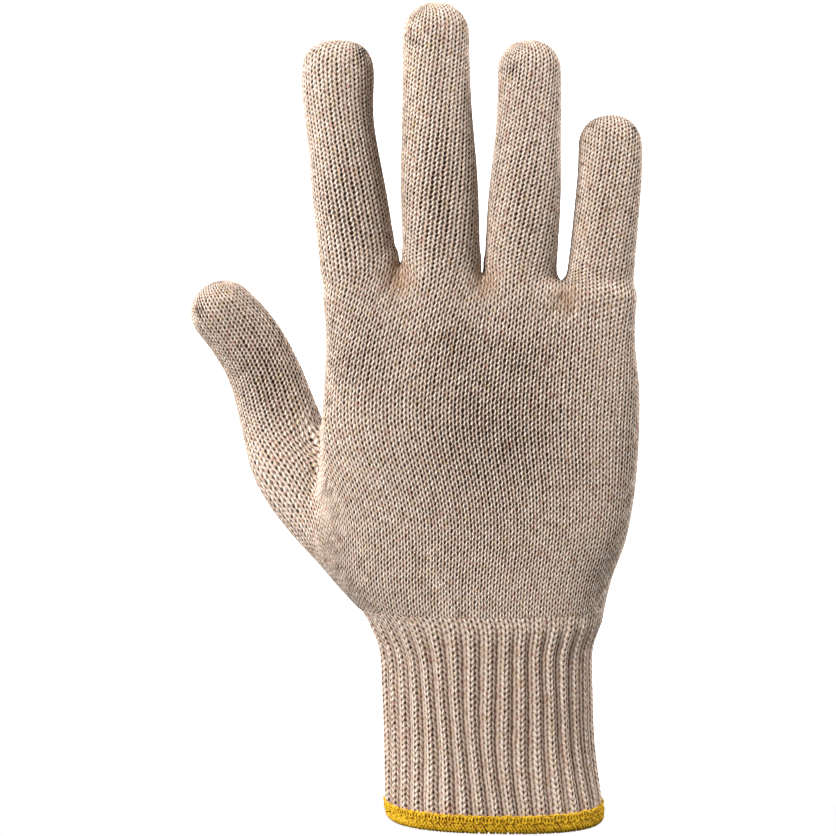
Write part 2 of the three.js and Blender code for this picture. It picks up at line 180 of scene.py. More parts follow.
# %% [markdown]
# ## The glove's worn form
# Fingers, thumb and palm are soft tubes, and a tube needs only a few cross-sections: a middle, a
# width, a thickness and how square it is. The same sizes as in the solid model are written here
# in millimetres, because this file can't read the model's source. A smooth curve joins the rows
# of a table.

# %% Sizes of the worn form
CUFF_LENGTH = 59.5
PALM_HEIGHT = 104.7
RIB_TOP = 63.4  # the photograph's ribs reach a little up the heel of the glove
WRIST = dict(width=69.5, depth=42.0, shift=-2.0)
PALM = dict(width=93.6, depth=32.0, shift=-4.1)
KNUCKLE_DEPTH = 25.0
KNUCKLE_SHIFT = -4.7
# Widths from root to tip; how far the tip is up from the root, to the right and to the palm's side;
# how far the root is up from the palm's end and to the palm's side, and the way in which it leans;
# the gap before it; courses; degrees that the knitting turns; degrees to the seam; a blunt tip.
FINGER_KEYS = "name widths reach drift curl foot set lean gap courses twist seam blunt".split()
FINGERS = [dict(zip(FINGER_KEYS, row)) for row in (
    ("index_finger", (23, 22, 20.2, 21.6), 66.6, -6.4, 8, 0, 1.4, 1, 0, 53, -20, 150, 2.7),
    ("middle_finger", (22.8, 22.8, 20.6, 19.8), 77.8, -1.7, 8, 0, -0.4, 0, 1.4, 61, 66, 50, 2.1),
    ("ring_finger", (21.3, 21.4, 19.4, 18.8), 69.4, 2.9, 9, -2.4, 0.2, 0, 0.9, 55, 70, 52, 2.1),
    ("little_finger", (20, 19.4, 19.2, 19), 51.4, 3.6, 10, -6.4, 2.2, -1, 2.8, 42, 45, 10, 2.1),
)]
WIDTH_AT = (0, 0.32, 0.6, 0.82)  # shares of the way up a finger
FINGER_THICKNESS = 0.88
ROOT_DEPTH = 15.0  # a finger's tube reaches this far down into the palm
ROOT_FLARE = 2.4  # and is this much wider on each side down there
# share of the way up a finger, share of its drift, share of its curl
FINGER_BEND = [(0, 0, 0), (0.2, 0.28, 0.05), (0.45, 0.64, 0.25), (0.7, 0.95, 0.55), (1, 1, 1)]
# share of the way up the palm, how far width and shift are the palm's rather than the wrist's, and
# how much of the depth is the wrist's and the knuckles'
PALM_ROWS = [
    (-0.1, -0.15, 0, 1, 0), (0, 0, 0, 1, 0), (0.06, 0.26, 0.9, 0.9, 0), (0.13, 0.57, 1.8, 0.72, 0),
    (0.22, 0.86, 1.8, 0.45, 0), (0.34, 0.98, 1.3, 0.15, 0), (0.5, 1.02, 0.85, 0, 0.15),
    (0.66, 0.98, 0.6, 0, 0.5), (0.8, 0.87, 0.75, 0, 1.1), (0.9, 0.87, 0.75, 0, 1.7),
]
THUMB_HEEL = 14.0  # length of the dome that closes the thumb's tube inside the heel
# Each row has shares of the spread, the rise, the way forward and the width, and then the
# thickness over the width.
THUMB = dict(spread=35.8, rise=97.8, forward=17, width=23.2, courses=38, twist=20, seam=0)
THUMB_ROWS = [
    (-0.85, 0.16, 0.2, 1.2, 0.75), (-0.22, 0.285, 0.45, 1.22, 0.8), (0.2, 0.44, 0.8, 1.13, 0.88),
    (0.345, 0.582, 1, 1.05, 0.88), (0.49, 0.744, 1, 0.94, 0.88), (0.68, 0.868, 0.9, 0.9, 0.86),
    (1, 1, 0.72, 0.8, 0.84),
]


def smooth_table(rows, places):
    """A table's columns at places along its first one, on the curve that the solid model uses."""
    rows = np.array(rows, float)
    at, rows = rows[:, 0], rows[:, 1:]
    last = len(at) - 1
    places = np.atleast_1d(np.array(places, float))
    i = np.clip(np.searchsorted(at, places, side="left") - 1, 0, last - 1)

    def slope(k):
        a, b = np.maximum(k - 1, 0), np.minimum(k + 1, last)
        return (rows[b] - rows[a]) / (at[b] - at[a])[:, None]

    step = (at[i + 1] - at[i])[:, None]
    t = (places - at[i])[:, None] / step
    bend = t * (1 - t) * ((1 - t) * slope(i) - t * slope(i + 1)) * step
    return rows[i] + (rows[i + 1] - rows[i]) * t * t * (3 - 2 * t) + bend


def unit(v):
    return v / np.maximum(np.linalg.norm(v, axis=-1, keepdims=True), 1e-9)


def tube(middles, half_widths, half_depths, square=2.0, headings=None, tip=0.0, blunt=2.0,
         root=0.0):
    """A limb: its axis, the frame of each section, and the lengths of the domes that close it."""
    middles = np.array(middles, float)
    level = headings is not None
    if headings is None:
        headings = np.gradient(middles, axis=0)
    headings = unit(np.array(headings, float))
    across = np.array([1.0, 0, 0])
    sides = unit(across - (headings @ across)[:, None] * headings)
    depths = np.cross(headings, sides)
    count = len(middles)
    return dict(c=middles, h=headings, s=sides, d=depths, a=np.array(half_widths, float),
                b=np.array(half_depths, float), n=np.broadcast_to(square, count).astype(float),
                tip=tip, blunt=blunt, root=root, level=level,
                run=np.r_[0, np.cumsum(np.linalg.norm(np.diff(middles, axis=0), axis=1))])


# %% Tubes for the palm, the fingers and the thumb
def palm_tube():
    ups = np.linspace(-0.1, 0.93, 44)
    wide, shift, wrist, knuckle = smooth_table(PALM_ROWS, ups).T
    width = WRIST["width"] + (PALM["width"] - WRIST["width"]) * wide
    depth = (PALM["depth"] + (WRIST["depth"] - PALM["depth"]) * wrist
             + (KNUCKLE_DEPTH - PALM["depth"]) * knuckle)
    middle = np.stack([WRIST["shift"] + (PALM["shift"] - WRIST["shift"]) * shift, 0 * ups,
                       CUFF_LENGTH + PALM_HEIGHT * ups], 1)
    square = 2 + 0.3 * np.clip(ups * 4, 0, 1) + 0.6 * np.maximum(knuckle, 0)
    return tube(middle, width / 2, depth / 2, square, np.tile([0, 0, 1.0], (len(ups), 1)), tip=5)


def finger_tube(finger, base_x):
    widths = list(zip(WIDTH_AT, finger["widths"]))
    half = lambda up: smooth_table(widths, np.minimum(up, WIDTH_AT[-1]))[:, 0] / 2
    dome_from = 1 - half(1)[0] / finger["reach"]
    ups = np.linspace(0, dome_from, 30)
    drift, curl = smooth_table(FINGER_BEND, ups).T
    foot = CUFF_LENGTH + PALM_HEIGHT + finger["foot"]
    middle = np.stack([base_x + finger["drift"] * drift, finger["set"] + finger["curl"] * curl,
                       foot + finger["reach"] * ups], 1)
    width = half(ups)
    start = unit(middle[1] - middle[0])
    roots = np.array([ROOT_DEPTH, 11, 6.75, 4, 2.25, 1])[:, None]
    share = roots[:, 0] / ROOT_DEPTH
    below = middle[0] - start * roots
    flare = ROOT_FLARE * np.sqrt(share)
    below[:, 0] += finger["lean"] * (flare + ROOT_FLARE / 2 * share)
    return tube(np.r_[below, middle], np.r_[width[0] + flare, width],
                np.r_[width[0] * FINGER_THICKNESS * (1 - 0.08 * share), width * FINGER_THICKNESS],
                tip=half(1)[0], blunt=finger["blunt"])


def thumb_tube():
    steps = np.linspace(0, 5.45, 34)
    rows = [(place, *row) for place, row in enumerate(THUMB_ROWS)]
    out, up, forward, width, thick = smooth_table(rows, steps).T
    middle = np.stack([PALM["shift"] - PALM["width"] / 2 - THUMB["spread"] * out,
                       THUMB["forward"] * forward, CUFF_LENGTH + THUMB["rise"] * up], 1)
    half = THUMB["width"] * width / 2
    return tube(middle, half, half * thick, tip=half[-1], root=THUMB_HEEL)


left = KNUCKLE_SHIFT - sum(f["gap"] + f["widths"][0] for f in FINGERS) / 2
limbs = {"palm": palm_tube(), "thumb": thumb_tube()}
for finger in FINGERS:
    finger["x"] = left + finger["gap"] + finger["widths"][0] / 2
    limbs[finger["name"]] = finger_tube(finger, finger["x"])
    left += finger["gap"] + finger["widths"][0]
for name, limb in limbs.items():
    widths = 2 * limb["a"]
    print(f"{name}: axis {limb['run'][-1]:.0f} mm, {widths.min():.1f} to {widths.max():.1f} mm wide")

# %% [markdown]
# ## A skin over the form
# Where two tubes meet, such as at a finger's root, the knitting bridges them in a soft valley.
# A smooth union does that: each tube says how far away a point is, and the distances are blended.
# Any point can then be moved on to the skin along the slope of that blended distance.

# %% Distance to a tube and to the blended skin
def place_along(limb, points):
    """The nearest place on a limb's axis, counted in its sections."""
    if limb["level"]:  # all its sections are level, so the height alone tells the place
        return np.interp(points[:, 2], limb["c"][:, 2], np.arange(len(limb["c"])))
    best = np.full(len(points), 1e9)
    place = np.zeros(len(points))
    for k in range(len(limb["c"]) - 1):
        edge = limb["c"][k + 1] - limb["c"][k]
        t = np.clip((points - limb["c"][k]) @ edge / (edge @ edge), 0, 1)
        gap = np.linalg.norm(points - limb["c"][k] - t[:, None] * edge, axis=1)
        near = gap < best
        best[near], place[near] = gap[near], k + t[near]
    return place


def distance_to(limb, points):
    place = place_along(limb, points)
    last = len(limb["c"]) - 1
    k = np.minimum(place.astype(int), last - 1)
    t = place - k
    at = lambda key: (limb[key][k].T * (1 - t) + limb[key][k + 1].T * t).T
    q = points - at("c")
    u, v, w = ((q * at(key)).sum(1) for key in "sdh")
    n = at("n")
    r = ((np.abs(u) / at("a")) ** n + (np.abs(v) / at("b")) ** n) ** (1 / n)
    beyond = np.where((place > last - 1e-6) & (w > 0), w, 0)
    below = np.where((place < 1e-6) & (w < 0) & (limb["root"] > 0), -w, 0)
    ends = beyond / max(limb["tip"], 1e-3) + below / max(limb["root"], 1e-3)
    blunt = limb["blunt"]
    r = np.maximum((r ** blunt + ends ** blunt) ** (1 / blunt), 1e-3)
    return np.sqrt(u * u + v * v + (beyond + below) ** 2) * (1 - 1 / r)


HEEL_TO_CREASE = ((88, 104), (2.6, 0.5))  # heights, and softness of the union there
PROBE, LONGEST_STEP = 0.05, 2.0  # mm: how far apart the slope is measured, and how far a point moves


def skin_distance(points, names, softness):
    if softness is None:  # the palm and the thumb: a soft heel below, a sharp crease above
        softness = np.interp(points[:, 2], *HEEL_TO_CREASE)
    total = sum(np.exp(-np.clip(distance_to(limbs[name], points), -40, 40) / softness)
                for name in names)
    return -softness * np.log(total)


def on_to_skin(points, names, softness):
    """Moves points one step along the slope of the distance."""
    base = skin_distance(points, names, softness)
    slope = np.stack([skin_distance(points + step, names, softness) - base
                      for step in PROBE * np.eye(3)], 1) / PROBE
    size = np.maximum((slope ** 2).sum(1), 0.25)
    move = -(base / size)[:, None] * slope
    return points + np.clip(move, -LONGEST_STEP, LONGEST_STEP)


# %% [markdown]
# ## Laying out the stitches
# A glove machine knits tubes of stitches: four fingers of 24 stitches round, which join into a
# palm of 96; the thumb's tube of 26 joins lower down and makes 122. Rows of stitches are courses
# and columns are wales. Each stitch corner gets one point. Where tubes join they share points, so
# the mesh has the same crotches as the real glove, and a fingertip is closed flat, its front
# stitches linked to its back ones along a seam.

# %% Point numbers for every tube
ROUND, FRONT = 24, 12  # stitches round a finger, and on its front
PALM_FRONT, THUMB_FRONT = 48, 13
LOWER_COURSES, UPPER_COURSES = 36, 26  # of the palm, under and over the thumb's crotch
LOWER_ROUND, UPPER_ROUND = 2 * (PALM_FRONT + THUMB_FRONT), 2 * PALM_FRONT
THUMB_ROUND = 2 * THUMB_FRONT

grids = {}
count = 0


def fresh(rows, columns):
    global count
    numbers = count + np.arange(rows * columns).reshape(rows, columns)
    count += rows * columns
    return numbers


lower = fresh(LOWER_COURSES + 1, LOWER_ROUND)
lower[-1, 2 * PALM_FRONT + THUMB_FRONT] = lower[-1, THUMB_FRONT]
upper = np.vstack([lower[-1, THUMB_FRONT:THUMB_FRONT + UPPER_ROUND],
                   fresh(UPPER_COURSES, UPPER_ROUND)])
for f in (1, 2, 3):
    upper[-1, UPPER_ROUND - FRONT * f] = upper[-1, FRONT * f]
grids["palm_lower"], grids["palm_upper"] = lower, upper


def close_tip(grid, seam_start):
    """Links the last course's front stitches to its back ones."""
    around = grid.shape[1]
    for j in range(1, around // 2):
        grid[-1, (seam_start - j) % around] = grid[-1, (seam_start + j) % around]
    return grid


def seam_column(seam, twist, around):
    return int(round((seam - twist) / 360 * around)) % around


for f, finger in enumerate(FINGERS):
    front = [upper[-1, FRONT * f + i] for i in range(FRONT + 1)]
    back = [upper[-1, (UPPER_ROUND - FRONT * (f + 1) + i) % UPPER_ROUND] for i in range(1, FRONT)]
    grid = np.vstack([front + back, fresh(finger["courses"], ROUND)])
    finger["seam_at"] = seam_column(finger["seam"], finger["twist"], ROUND)
    grids[finger["name"]] = close_tip(grid, finger["seam_at"])
first = list(lower[-1, :THUMB_FRONT + 1]) + list(lower[-1, LOWER_ROUND - THUMB_FRONT + 1:])
THUMB_TURN = -40  # degrees: the thumb's inner side looks to the palm's edge, which is nearer
THUMB["seam_at"] = seam_column(THUMB["seam"], THUMB["twist"] + THUMB_TURN, THUMB_ROUND)
grids["thumb"] = close_tip(np.vstack([first, fresh(THUMB["courses"], THUMB_ROUND)]),
                           THUMB["seam_at"])
for name, grid in grids.items():
    print(f"{name}: {grid.shape[1]} wales, {grid.shape[0] - 1} courses")

# %% [markdown]
# ## First places for the points
# Points start on plain ovals. On the palm, the oval slowly turns into the row of finger roots
# above it, and lower down into palm and thumb root side by side, so that every column of stitches
# already runs into the finger that it belongs to.

# %% Rings of points on the tubes
def ring(limb, run, angles):
    """Points round a tube at a distance along its axis. Angle 0 is its left side, 90 its front."""
    at = {key: np.array([np.interp(run, limb["run"], col) for col in
                         np.atleast_2d(limb[key].T)]).squeeze() for key in "cshdabn"}
    power = 2 / at["n"]
    x, y = -np.cos(angles), -np.sin(angles)
    x, y = np.sign(x) * np.abs(x) ** power, np.sign(y) * np.abs(y) ** power
    beyond = max(run - limb["run"][-1], 0) + min(run, 0)  # past either end of the axis
    middle = at["c"] + at["h"] * beyond
    return middle + np.outer(x, at["s"]) * at["a"] + np.outer(y, at["d"]) * at["b"]


def even_angles(limb, run, widths, turned):
    """Angles that part an oval's edge by the wales' widths, turned round it by some mm."""
    fine = np.linspace(0, TAU, 1441)
    edge = ring(limb, run, fine)
    length = np.r_[0, np.cumsum(np.linalg.norm(np.diff(edge, axis=0), axis=1))]
    ends = np.r_[0, np.cumsum(widths)[:-1]] / np.sum(widths) * length[-1] + turned
    return np.interp(np.mod(ends, length[-1]), length, fine)


def dome(limb, share, angles, seam_angle):
    """Points on the fingertip's dome. At share 1 they lie on the seam's line."""
    turn = angles - seam_angle
    x = np.cos(turn) * (1 - 0.16 * share)
    y = np.sin(turn) * math.cos(math.pi / 2 * share)
    z = np.sqrt(np.maximum(1 - x * x - y * y, 0))
    across, along = (x * math.cos(seam_angle) - y * math.sin(seam_angle),
                     x * math.sin(seam_angle) + y * math.cos(seam_angle))
    s, d, h = (limb[key][-1] for key in "sdh")
    return (limb["c"][-1] - np.outer(across, s) * limb["a"][-1]
            - np.outer(along, d) * limb["b"][-1] + np.outer(z, h) * limb["tip"])


points = np.zeros((count, 3))
DOME_SHORT = 0.92  # the knitting's way over a dome, over that of a round one


def lay_limb(name, root_run, sizes, turn=0.0):
    """Places a limb's courses at even steps up its shaft and over its dome."""
    limb, grid = limbs[name], grids[name]
    around, courses, twist = grid.shape[1], sizes["courses"], math.radians(sizes["twist"])
    shaft = limb["run"][-1] - root_run
    arc = math.pi / 2 * limb["tip"] * DOME_SHORT
    base = TAU * np.arange(around) / around + math.radians(turn)
    seam_angle = base[sizes["seam_at"]] + twist
    for row in range(courses, 0, -1):
        way = row / courses * (shaft + arc)
        angles = base + twist * row / courses
        if way <= shaft:
            points[grid[row]] = ring(limb, root_run + way, angles)
        else:
            points[grid[row]] = dome(limb, (way - shaft) / arc, angles, seam_angle)


for finger in FINGERS:
    lay_limb(finger["name"], ROOT_DEPTH, finger)
THUMB_START = 115.5  # height of the axis where the thumb's own courses start
thumb = limbs["thumb"]
thumb_start_run = thumb["run"][np.argmin(np.abs(thumb["c"][:, 2] - THUMB_START))]
lay_limb("thumb", thumb_start_run, THUMB, THUMB_TURN)

# %% Rings of points on the palm
THUMB_CROTCH = np.array([-51.0, 8.0, 120.0])


def finger_roots(depth):
    """The row of finger roots some way under the crotches, as one ring of the palm's stitches."""
    row = np.zeros((UPPER_ROUND, 3))
    weight = np.zeros(UPPER_ROUND)
    for f, finger in enumerate(FINGERS):
        angles = TAU * np.arange(ROUND + 1) / ROUND
        edge = ring(limbs[finger["name"]], ROOT_DEPTH - min(depth, ROOT_DEPTH - 0.1), angles)
        for i in range(FRONT + 1):
            for column, point in ((FRONT * f + i, edge[i]),
                                  (UPPER_ROUND - FRONT * (f + 1) + i, edge[FRONT + i])):
                row[column % UPPER_ROUND] += point
                weight[column % UPPER_ROUND] += 1
    return row / weight[:, None]


# The knitting is turned a little round the palm, and less so going up, so its wales lean there.
PALM_TURN = ((60, 118, 132, 147, 165), (-6.5, -6.5, -5.2, -2.5, 0.3))  # heights, and mm of turn
CROWDED = 0.35  # width of the thumb's wales at the wrist, over that of the others
THUMB_LAG = 3  # the thumb's rings are taken this much lower than the palm's
CROTCH_DROP = 1.0  # a crotch between two fingers hangs this much under the middle of its sides
palm = limbs["palm"]


def palm_ring(z, widths):
    run = np.interp(z, palm["c"][:, 2], palm["run"])
    return ring(palm, run, even_angles(palm, run, widths, float(np.interp(z, *PALM_TURN))))


roots_now = finger_roots(0)
for f in (1, 2, 3):
    crotch = (roots_now[FRONT * f] + roots_now[UPPER_ROUND - FRONT * f]) / 2
    roots_now[FRONT * f] = roots_now[UPPER_ROUND - FRONT * f] = crotch - [0, 0, CROTCH_DROP]
points[upper[-1]] = roots_now
for row in range(UPPER_COURSES):
    share = row / UPPER_COURSES
    level = THUMB_CROTCH[2] + share * (roots_now[:, 2] - THUMB_CROTCH[2])
    flat = float(level.mean())
    oval = palm_ring(flat, np.ones(UPPER_ROUND))
    oval[:, 2] = level
    below = float(roots_now[:, 2].mean()) - flat
    roots = finger_roots(below)
    blend = np.clip(1 - below / ROOT_DEPTH, 0, 1) ** 1.6
    placed = oval * (1 - blend) + roots * blend
    column = np.minimum(np.arange(UPPER_ROUND), UPPER_ROUND - np.arange(UPPER_ROUND))
    pull = np.exp(-(column / 2.2) ** 2) * max(0, 1 - row / 6) ** 2
    placed += pull[:, None] * (THUMB_CROTCH - placed)
    points[upper[row]] = placed

for row in range(LOWER_COURSES):
    share = row / LOWER_COURSES
    z = RIB_TOP + share * (THUMB_CROTCH[2] - RIB_TOP)
    widths = np.ones(LOWER_ROUND)
    widths[:THUMB_FRONT] = widths[-THUMB_FRONT:] = CROWDED + (1 - CROWDED) * min(1, share / 0.5)
    oval = palm_ring(z, widths)  # its first column is its left side, which is the thumb's
    palm_part = palm_ring(z, np.ones(UPPER_ROUND))
    angles = TAU * np.arange(THUMB_ROUND) / THUMB_ROUND + math.radians(THUMB_TURN)
    thumb_part = ring(thumb, np.interp(z - THUMB_LAG, thumb["c"][:, 2], thumb["run"]), angles)
    lobes = np.vstack([thumb_part[:THUMB_FRONT], palm_part, palm_part[:1],
                       thumb_part[THUMB_FRONT + 1:]])
    blend = np.clip((share - 0.15) / 0.85, 0, 1) ** 1.15
    points[lower[row]] = oval * (1 - blend) + lobes * blend
thumb_heading, COURSE = thumb["h"][20], 1.3  # near its crotch, and mm from course to course
below_thumb = points[grids["thumb"][1]] - thumb_heading * COURSE
points[lower[-1, :THUMB_FRONT]] = below_thumb[:THUMB_FRONT]
points[lower[-1, LOWER_ROUND - THUMB_FRONT + 1:]] = below_thumb[THUMB_FRONT + 1:]
points[lower[-1, THUMB_FRONT]] = THUMB_CROTCH
print(count, "stitch corners placed")

# %% [markdown]
# ## Letting the knitting settle
# Real stitches slide until they share the stretch, and the fabric stays taut. Each round here
# moves every point towards the middle of its neighbours and then back on to the skin. The
# cuff's end and the crotches stay where they are, as the yarn is linked there.

# %% Quads, neighbours and the settling
quads, stitch_uv, piece_of = [], [], []
for piece, (name, grid) in enumerate(grids.items()):
    rows, around = grid.shape[0] - 1, grid.shape[1]
    r, i = (a.ravel() for a in np.meshgrid(np.arange(rows), np.arange(around), indexing="ij"))
    j = (i + 1) % around
    quads.append(np.stack([grid[r, i], grid[r, j], grid[r + 1, j], grid[r + 1, i]], 1))
    stitch_uv.append(np.stack([np.stack([i, r], 1), np.stack([i + 1, r], 1),
                               np.stack([i + 1, r + 1], 1), np.stack([i, r + 1], 1)], 1))
    piece_of.append(np.full(len(r), piece))
quads, stitch_uv, piece_of = (np.concatenate(a) for a in (quads, stitch_uv, piece_of))
used, quads = np.unique(quads, return_inverse=True)
quads = quads.reshape(-1, 4)
renumber = np.full(count, -1)
renumber[used] = np.arange(len(used))
points = points[used]
grids = {name: renumber[grid] for name, grid in grids.items()}

sides = np.concatenate([quads[:, [k, (k + 1) % 4]] for k in range(4)])
edges = np.unique(np.sort(sides, 1), axis=0)


def sum_at(numbers, rows, total):
    """Adds up the rows that have the same number."""
    return np.stack([np.bincount(numbers, column, total) for column in rows.T], 1)


def neighbour_mean(values):
    both_ways = (edges.T, edges.T[::-1])
    total = sum(sum_at(a, values[b], len(values)) for a, b in both_ways)
    return total / np.bincount(edges.ravel(), minlength=len(values))[:, None]


crotches = [grids["palm_upper"][-1, FRONT * f] for f in (1, 2, 3)]
fixed = np.r_[grids["palm_lower"][0], crotches]
home = points[fixed].copy()


def points_of(*parts):
    """Numbers of the points in some courses of some tubes."""
    return np.unique(np.concatenate([grids[name][courses].ravel() for name, courses in parts]))


NEAR_ROOT = 3  # courses of a finger or the thumb that lie on the blended skin
finger_names = [finger["name"] for finger in FINGERS]
low_courses = [(name, slice(NEAR_ROOT)) for name in finger_names]
# points, the tubes that they lie on, and the softness of those tubes' union
regions = [(points_of(("palm_upper", slice(1, None)), *low_courses), ["palm"] + finger_names, 1.6),
           (points_of(("palm_lower", slice(None)), ("thumb", slice(NEAR_ROOT)),
                      ("palm_upper", slice(2))), ["palm", "thumb"], None)]
regions += [(points_of((name, slice(NEAR_ROOT, None))), [name], 1.0)
            for name in ["thumb"] + finger_names]
SETTLING = 56  # rounds
for step in range(SETTLING):
    points += 0.5 * (neighbour_mean(points) - points)
    for numbers, names, softness in regions:
        points[numbers] = on_to_skin(points[numbers], names, softness)
    points[fixed] = home

# A few rounds of smoothing take away the last steps between two tubes. Every second half of a
# round pushes outwards, so the size stays.
SMOOTHING = 12  # rounds
near_roots = points_of(("palm_upper", slice(-8, None)),
                       *[(name, slice(10)) for name in finger_names])
near_roots = np.setdiff1d(near_roots, fixed)
for step in range(SMOOTHING):
    for strength in (0.5, -0.52):
        moved = neighbour_mean(points)[near_roots] - points[near_roots]
        points[near_roots] += strength * moved
near_wrist = points_of(("palm_lower", slice(1, 8)))
for step in range(3):
    points[near_wrist] = on_to_skin(points[near_wrist], ["palm", "thumb"], None)
print(len(quads), "stitches settled; tallest point", round(points[:, 2].max(), 1), "mm")

# %% [markdown]
# ## Refining the stitches
# One square for a stitch is far too coarse, so each is split twice by the Catmull-Clark rule, the
# one behind Blender's Subdivision Surface modifier. Doing it in a few array lines keeps track of
# which refined point came from which stitch, and that is needed to emboss the yarn, to line the
# glove with a coarser inner wall, and to cut it into pieces that still fit to the last point.

# %% Catmull-Clark refinement
def refine(p, q, uv, owner):
    """Splits each square into four. Also gives the count of old points and the old edges."""
    total = len(p)
    centre = p[q].mean(1)
    pair = np.stack([q, np.roll(q, -1, axis=1)], -1)
    key = pair.min(-1) * total + pair.max(-1)
    names, edge_of = np.unique(key, return_inverse=True)
    edge_of = edge_of.reshape(q.shape)
    ends = np.stack([names // total, names % total], 1)
    uses = np.bincount(edge_of.ravel(), minlength=len(names))
    straight = p[ends].mean(1)
    sides = sum_at(edge_of.ravel(), np.repeat(centre, 4, axis=0), len(names))
    round_face = sum_at(q.ravel(), np.repeat(centre, 4, axis=0), total)
    round_edge = sum_at(ends.ravel(), np.repeat(straight, 2, axis=0), total)
    faces_at = np.bincount(q.ravel(), minlength=total)[:, None]
    edges_at = np.bincount(ends.ravel(), minlength=total)[:, None]
    inner = (uses == 2)[:, None]
    middle = np.where(inner, (straight * 2 + sides) / 4, straight)
    n = np.maximum(edges_at, 3)
    moved = (round_face / faces_at + 2 * round_edge / edges_at + (n - 3) * p) / n
    moved = np.where(edges_at < 3, p, moved)
    rim = np.unique(ends[uses == 1])
    moved[rim] = p[rim]
    e, f = total + edge_of, total + len(names) + np.arange(len(q))
    mids = (uv + np.roll(uv, -1, axis=1)) / 2
    heart = uv.mean(1)
    new_q = np.concatenate([np.stack([q[:, k], e[:, k], f, e[:, k - 1]], 1) for k in range(4)])
    new_uv = np.concatenate([np.stack([uv[:, k], mids[:, k], heart, mids[:, k - 1]], 1)
                             for k in range(4)])
    return (np.concatenate([moved, middle, centre]), new_q, new_uv, np.tile(owner, 4),
            (total, ends))


def point_normals(p, q):
    across = np.cross(p[q[:, 2]] - p[q[:, 0]], p[q[:, 3]] - p[q[:, 1]])
    return unit(sum_at(q.ravel(), np.repeat(across, 4, axis=0), len(p)))


coarse = refine(points, quads, stitch_uv.astype(float), piece_of)
fine = refine(*coarse[:4])
print(len(coarse[1]), "squares in the lining,", len(fine[1]), "outside")

# %% [markdown]
# ## Embossing the yarn
# In plain knitting the two legs of each stitch make upright cords, with small openings between
# them that stand staggered like bricks. The relief raises the cords and sinks the openings by a
# few tenths of a millimetre. Where the fabric is stretched most, over the knuckles and the middle
# of the back, the openings are wider.

# %% Relief of the plain knitting
CORD_RISE = 0.22
OPENING_DEPTH = 0.5
LEAN = 0.3  # an opening leans to the right going up, in cords a course
# x, z of a stretched place in mm, how far it reaches in x and z, how strong
STRETCHED = [(0, 116, 24, 24, 1.0), (-15, 187, 8, 24, 0.8), (-43, 183, 8, 20, 0.75),
             (11, 184, 7, 20, 0.5), (-66, 132, 12, 14, 0.85), (-38, 138, 9, 10, 0.7),
             (-12, 142, 12, 10, 0.6), (12, 140, 14, 12, 0.5), (-5, 80, 30, 12, 0.35),
             (36, 190, 8, 20, 0.25)]
# the same for the gathered roots of the fingers and the drawn holes beside the fingertips' seams
# Their negative values also paint the warm shade of the finger roots into the yarn's colour.
STRETCHED += [(-28, 162, 4.5, 6, -0.9), (-2.5, 160, 4.5, 6, -0.8), (21, 155, 4.5, 5, -0.8),
              (-38.4, 227, 1.9, 2.8, 1.4), (-23, 231, 2, 1.8, 1.2), (5.5, 222, 1.9, 2, 1.2),
              (28.5, 207, 1.8, 2.2, 1.2), (42.5, 205, 1.8, 2.4, 1.2), (-87, 151, 2.4, 4, 1.2)]


def stretch_at(p):
    spots = sum(k * np.exp(-((p[:, 0] - x) / rx) ** 2 - ((p[:, 2] - z) / rz) ** 2)
                for x, z, rx, rz, k in STRETCHED)
    return np.clip(spots, -0.8, 1.2)


def knit_relief(uv, stretch):
    cord = uv[:, 0] * 2
    near = np.round(cord)
    shifted = uv[:, 1] + 0.5 * np.mod(near, 2)
    dy = shifted - np.round(shifted)
    dx = cord - near
    opening = np.exp(-((dx - LEAN * dy) / 0.28) ** 2 - (dy / 0.32) ** 2)
    cords = np.sin(np.pi * np.abs(dx)) ** 2
    depth = OPENING_DEPTH * (0.5 + 0.5 * stretch) * (1 - 0.35 * np.mod(near, 2))
    return CORD_RISE * (cords - 0.5) - depth * opening


# %% Folds and gathers on the back
FOLDS = [  # x, z of one end and of the other in mm, half width, rise
    (-17.7, 82.3, -10.5, 65.5, 1.1, 0.9), (-21.0, 79, -15.0, 67, 1.6, -0.7),
    (-8.5, 74, -7.0, 64.5, 1.5, -0.6), (-3.0, 80, 0.0, 69, 1.8, 0.4),
    # the palm's edge stands over the thumb's root
    (-51.4, 120, -52.4, 104, 1.1, -1.5), (-52.4, 104, -53.8, 97.5, 1.3, -0.8),
    (-48.8, 121, -49.6, 103, 1.6, 0.9), (-49.6, 103, -51.0, 98, 1.8, 0.4),
]
for x, z in ((-28.0, 163.5), (-2.5, 163.5), (20.5, 157.5)):  # at the finger roots
    FOLDS += [(x, z - 2, x + 0.5, z - 6, 2.0, -0.7), (x, z - 2, x - 5.5, z - 8, 1.2, -0.5),
              (x, z - 2, x + 5, z - 8, 1.2, -0.5), (x - 3, z - 8, x - 6.5, z - 2, 1.3, 0.4),
              (x + 3.5, z - 8, x + 6.5, z - 2, 1.3, 0.4), (x, z - 4, x + 0.5, z - 22, 6.0, -0.7)]


def folds_at(p, normals):
    """How far the folds lift each point. They show on the back and fade out round the sides."""
    lift = np.zeros(len(p))
    spot = p[:, [0, 2]]
    for x, z, far_x, far_z, half_width, rise in FOLDS:
        start, way = np.array([x, z]), np.array([far_x - x, far_z - z])
        t = np.clip((spot - start) @ way / (way @ way), 0, 1)
        gap = np.linalg.norm(spot - start - t[:, None] * way, axis=1)
        lift += rise * np.exp(-(gap / half_width) ** 2)
    return lift * np.clip(-normals[:, 1], 0, 1)


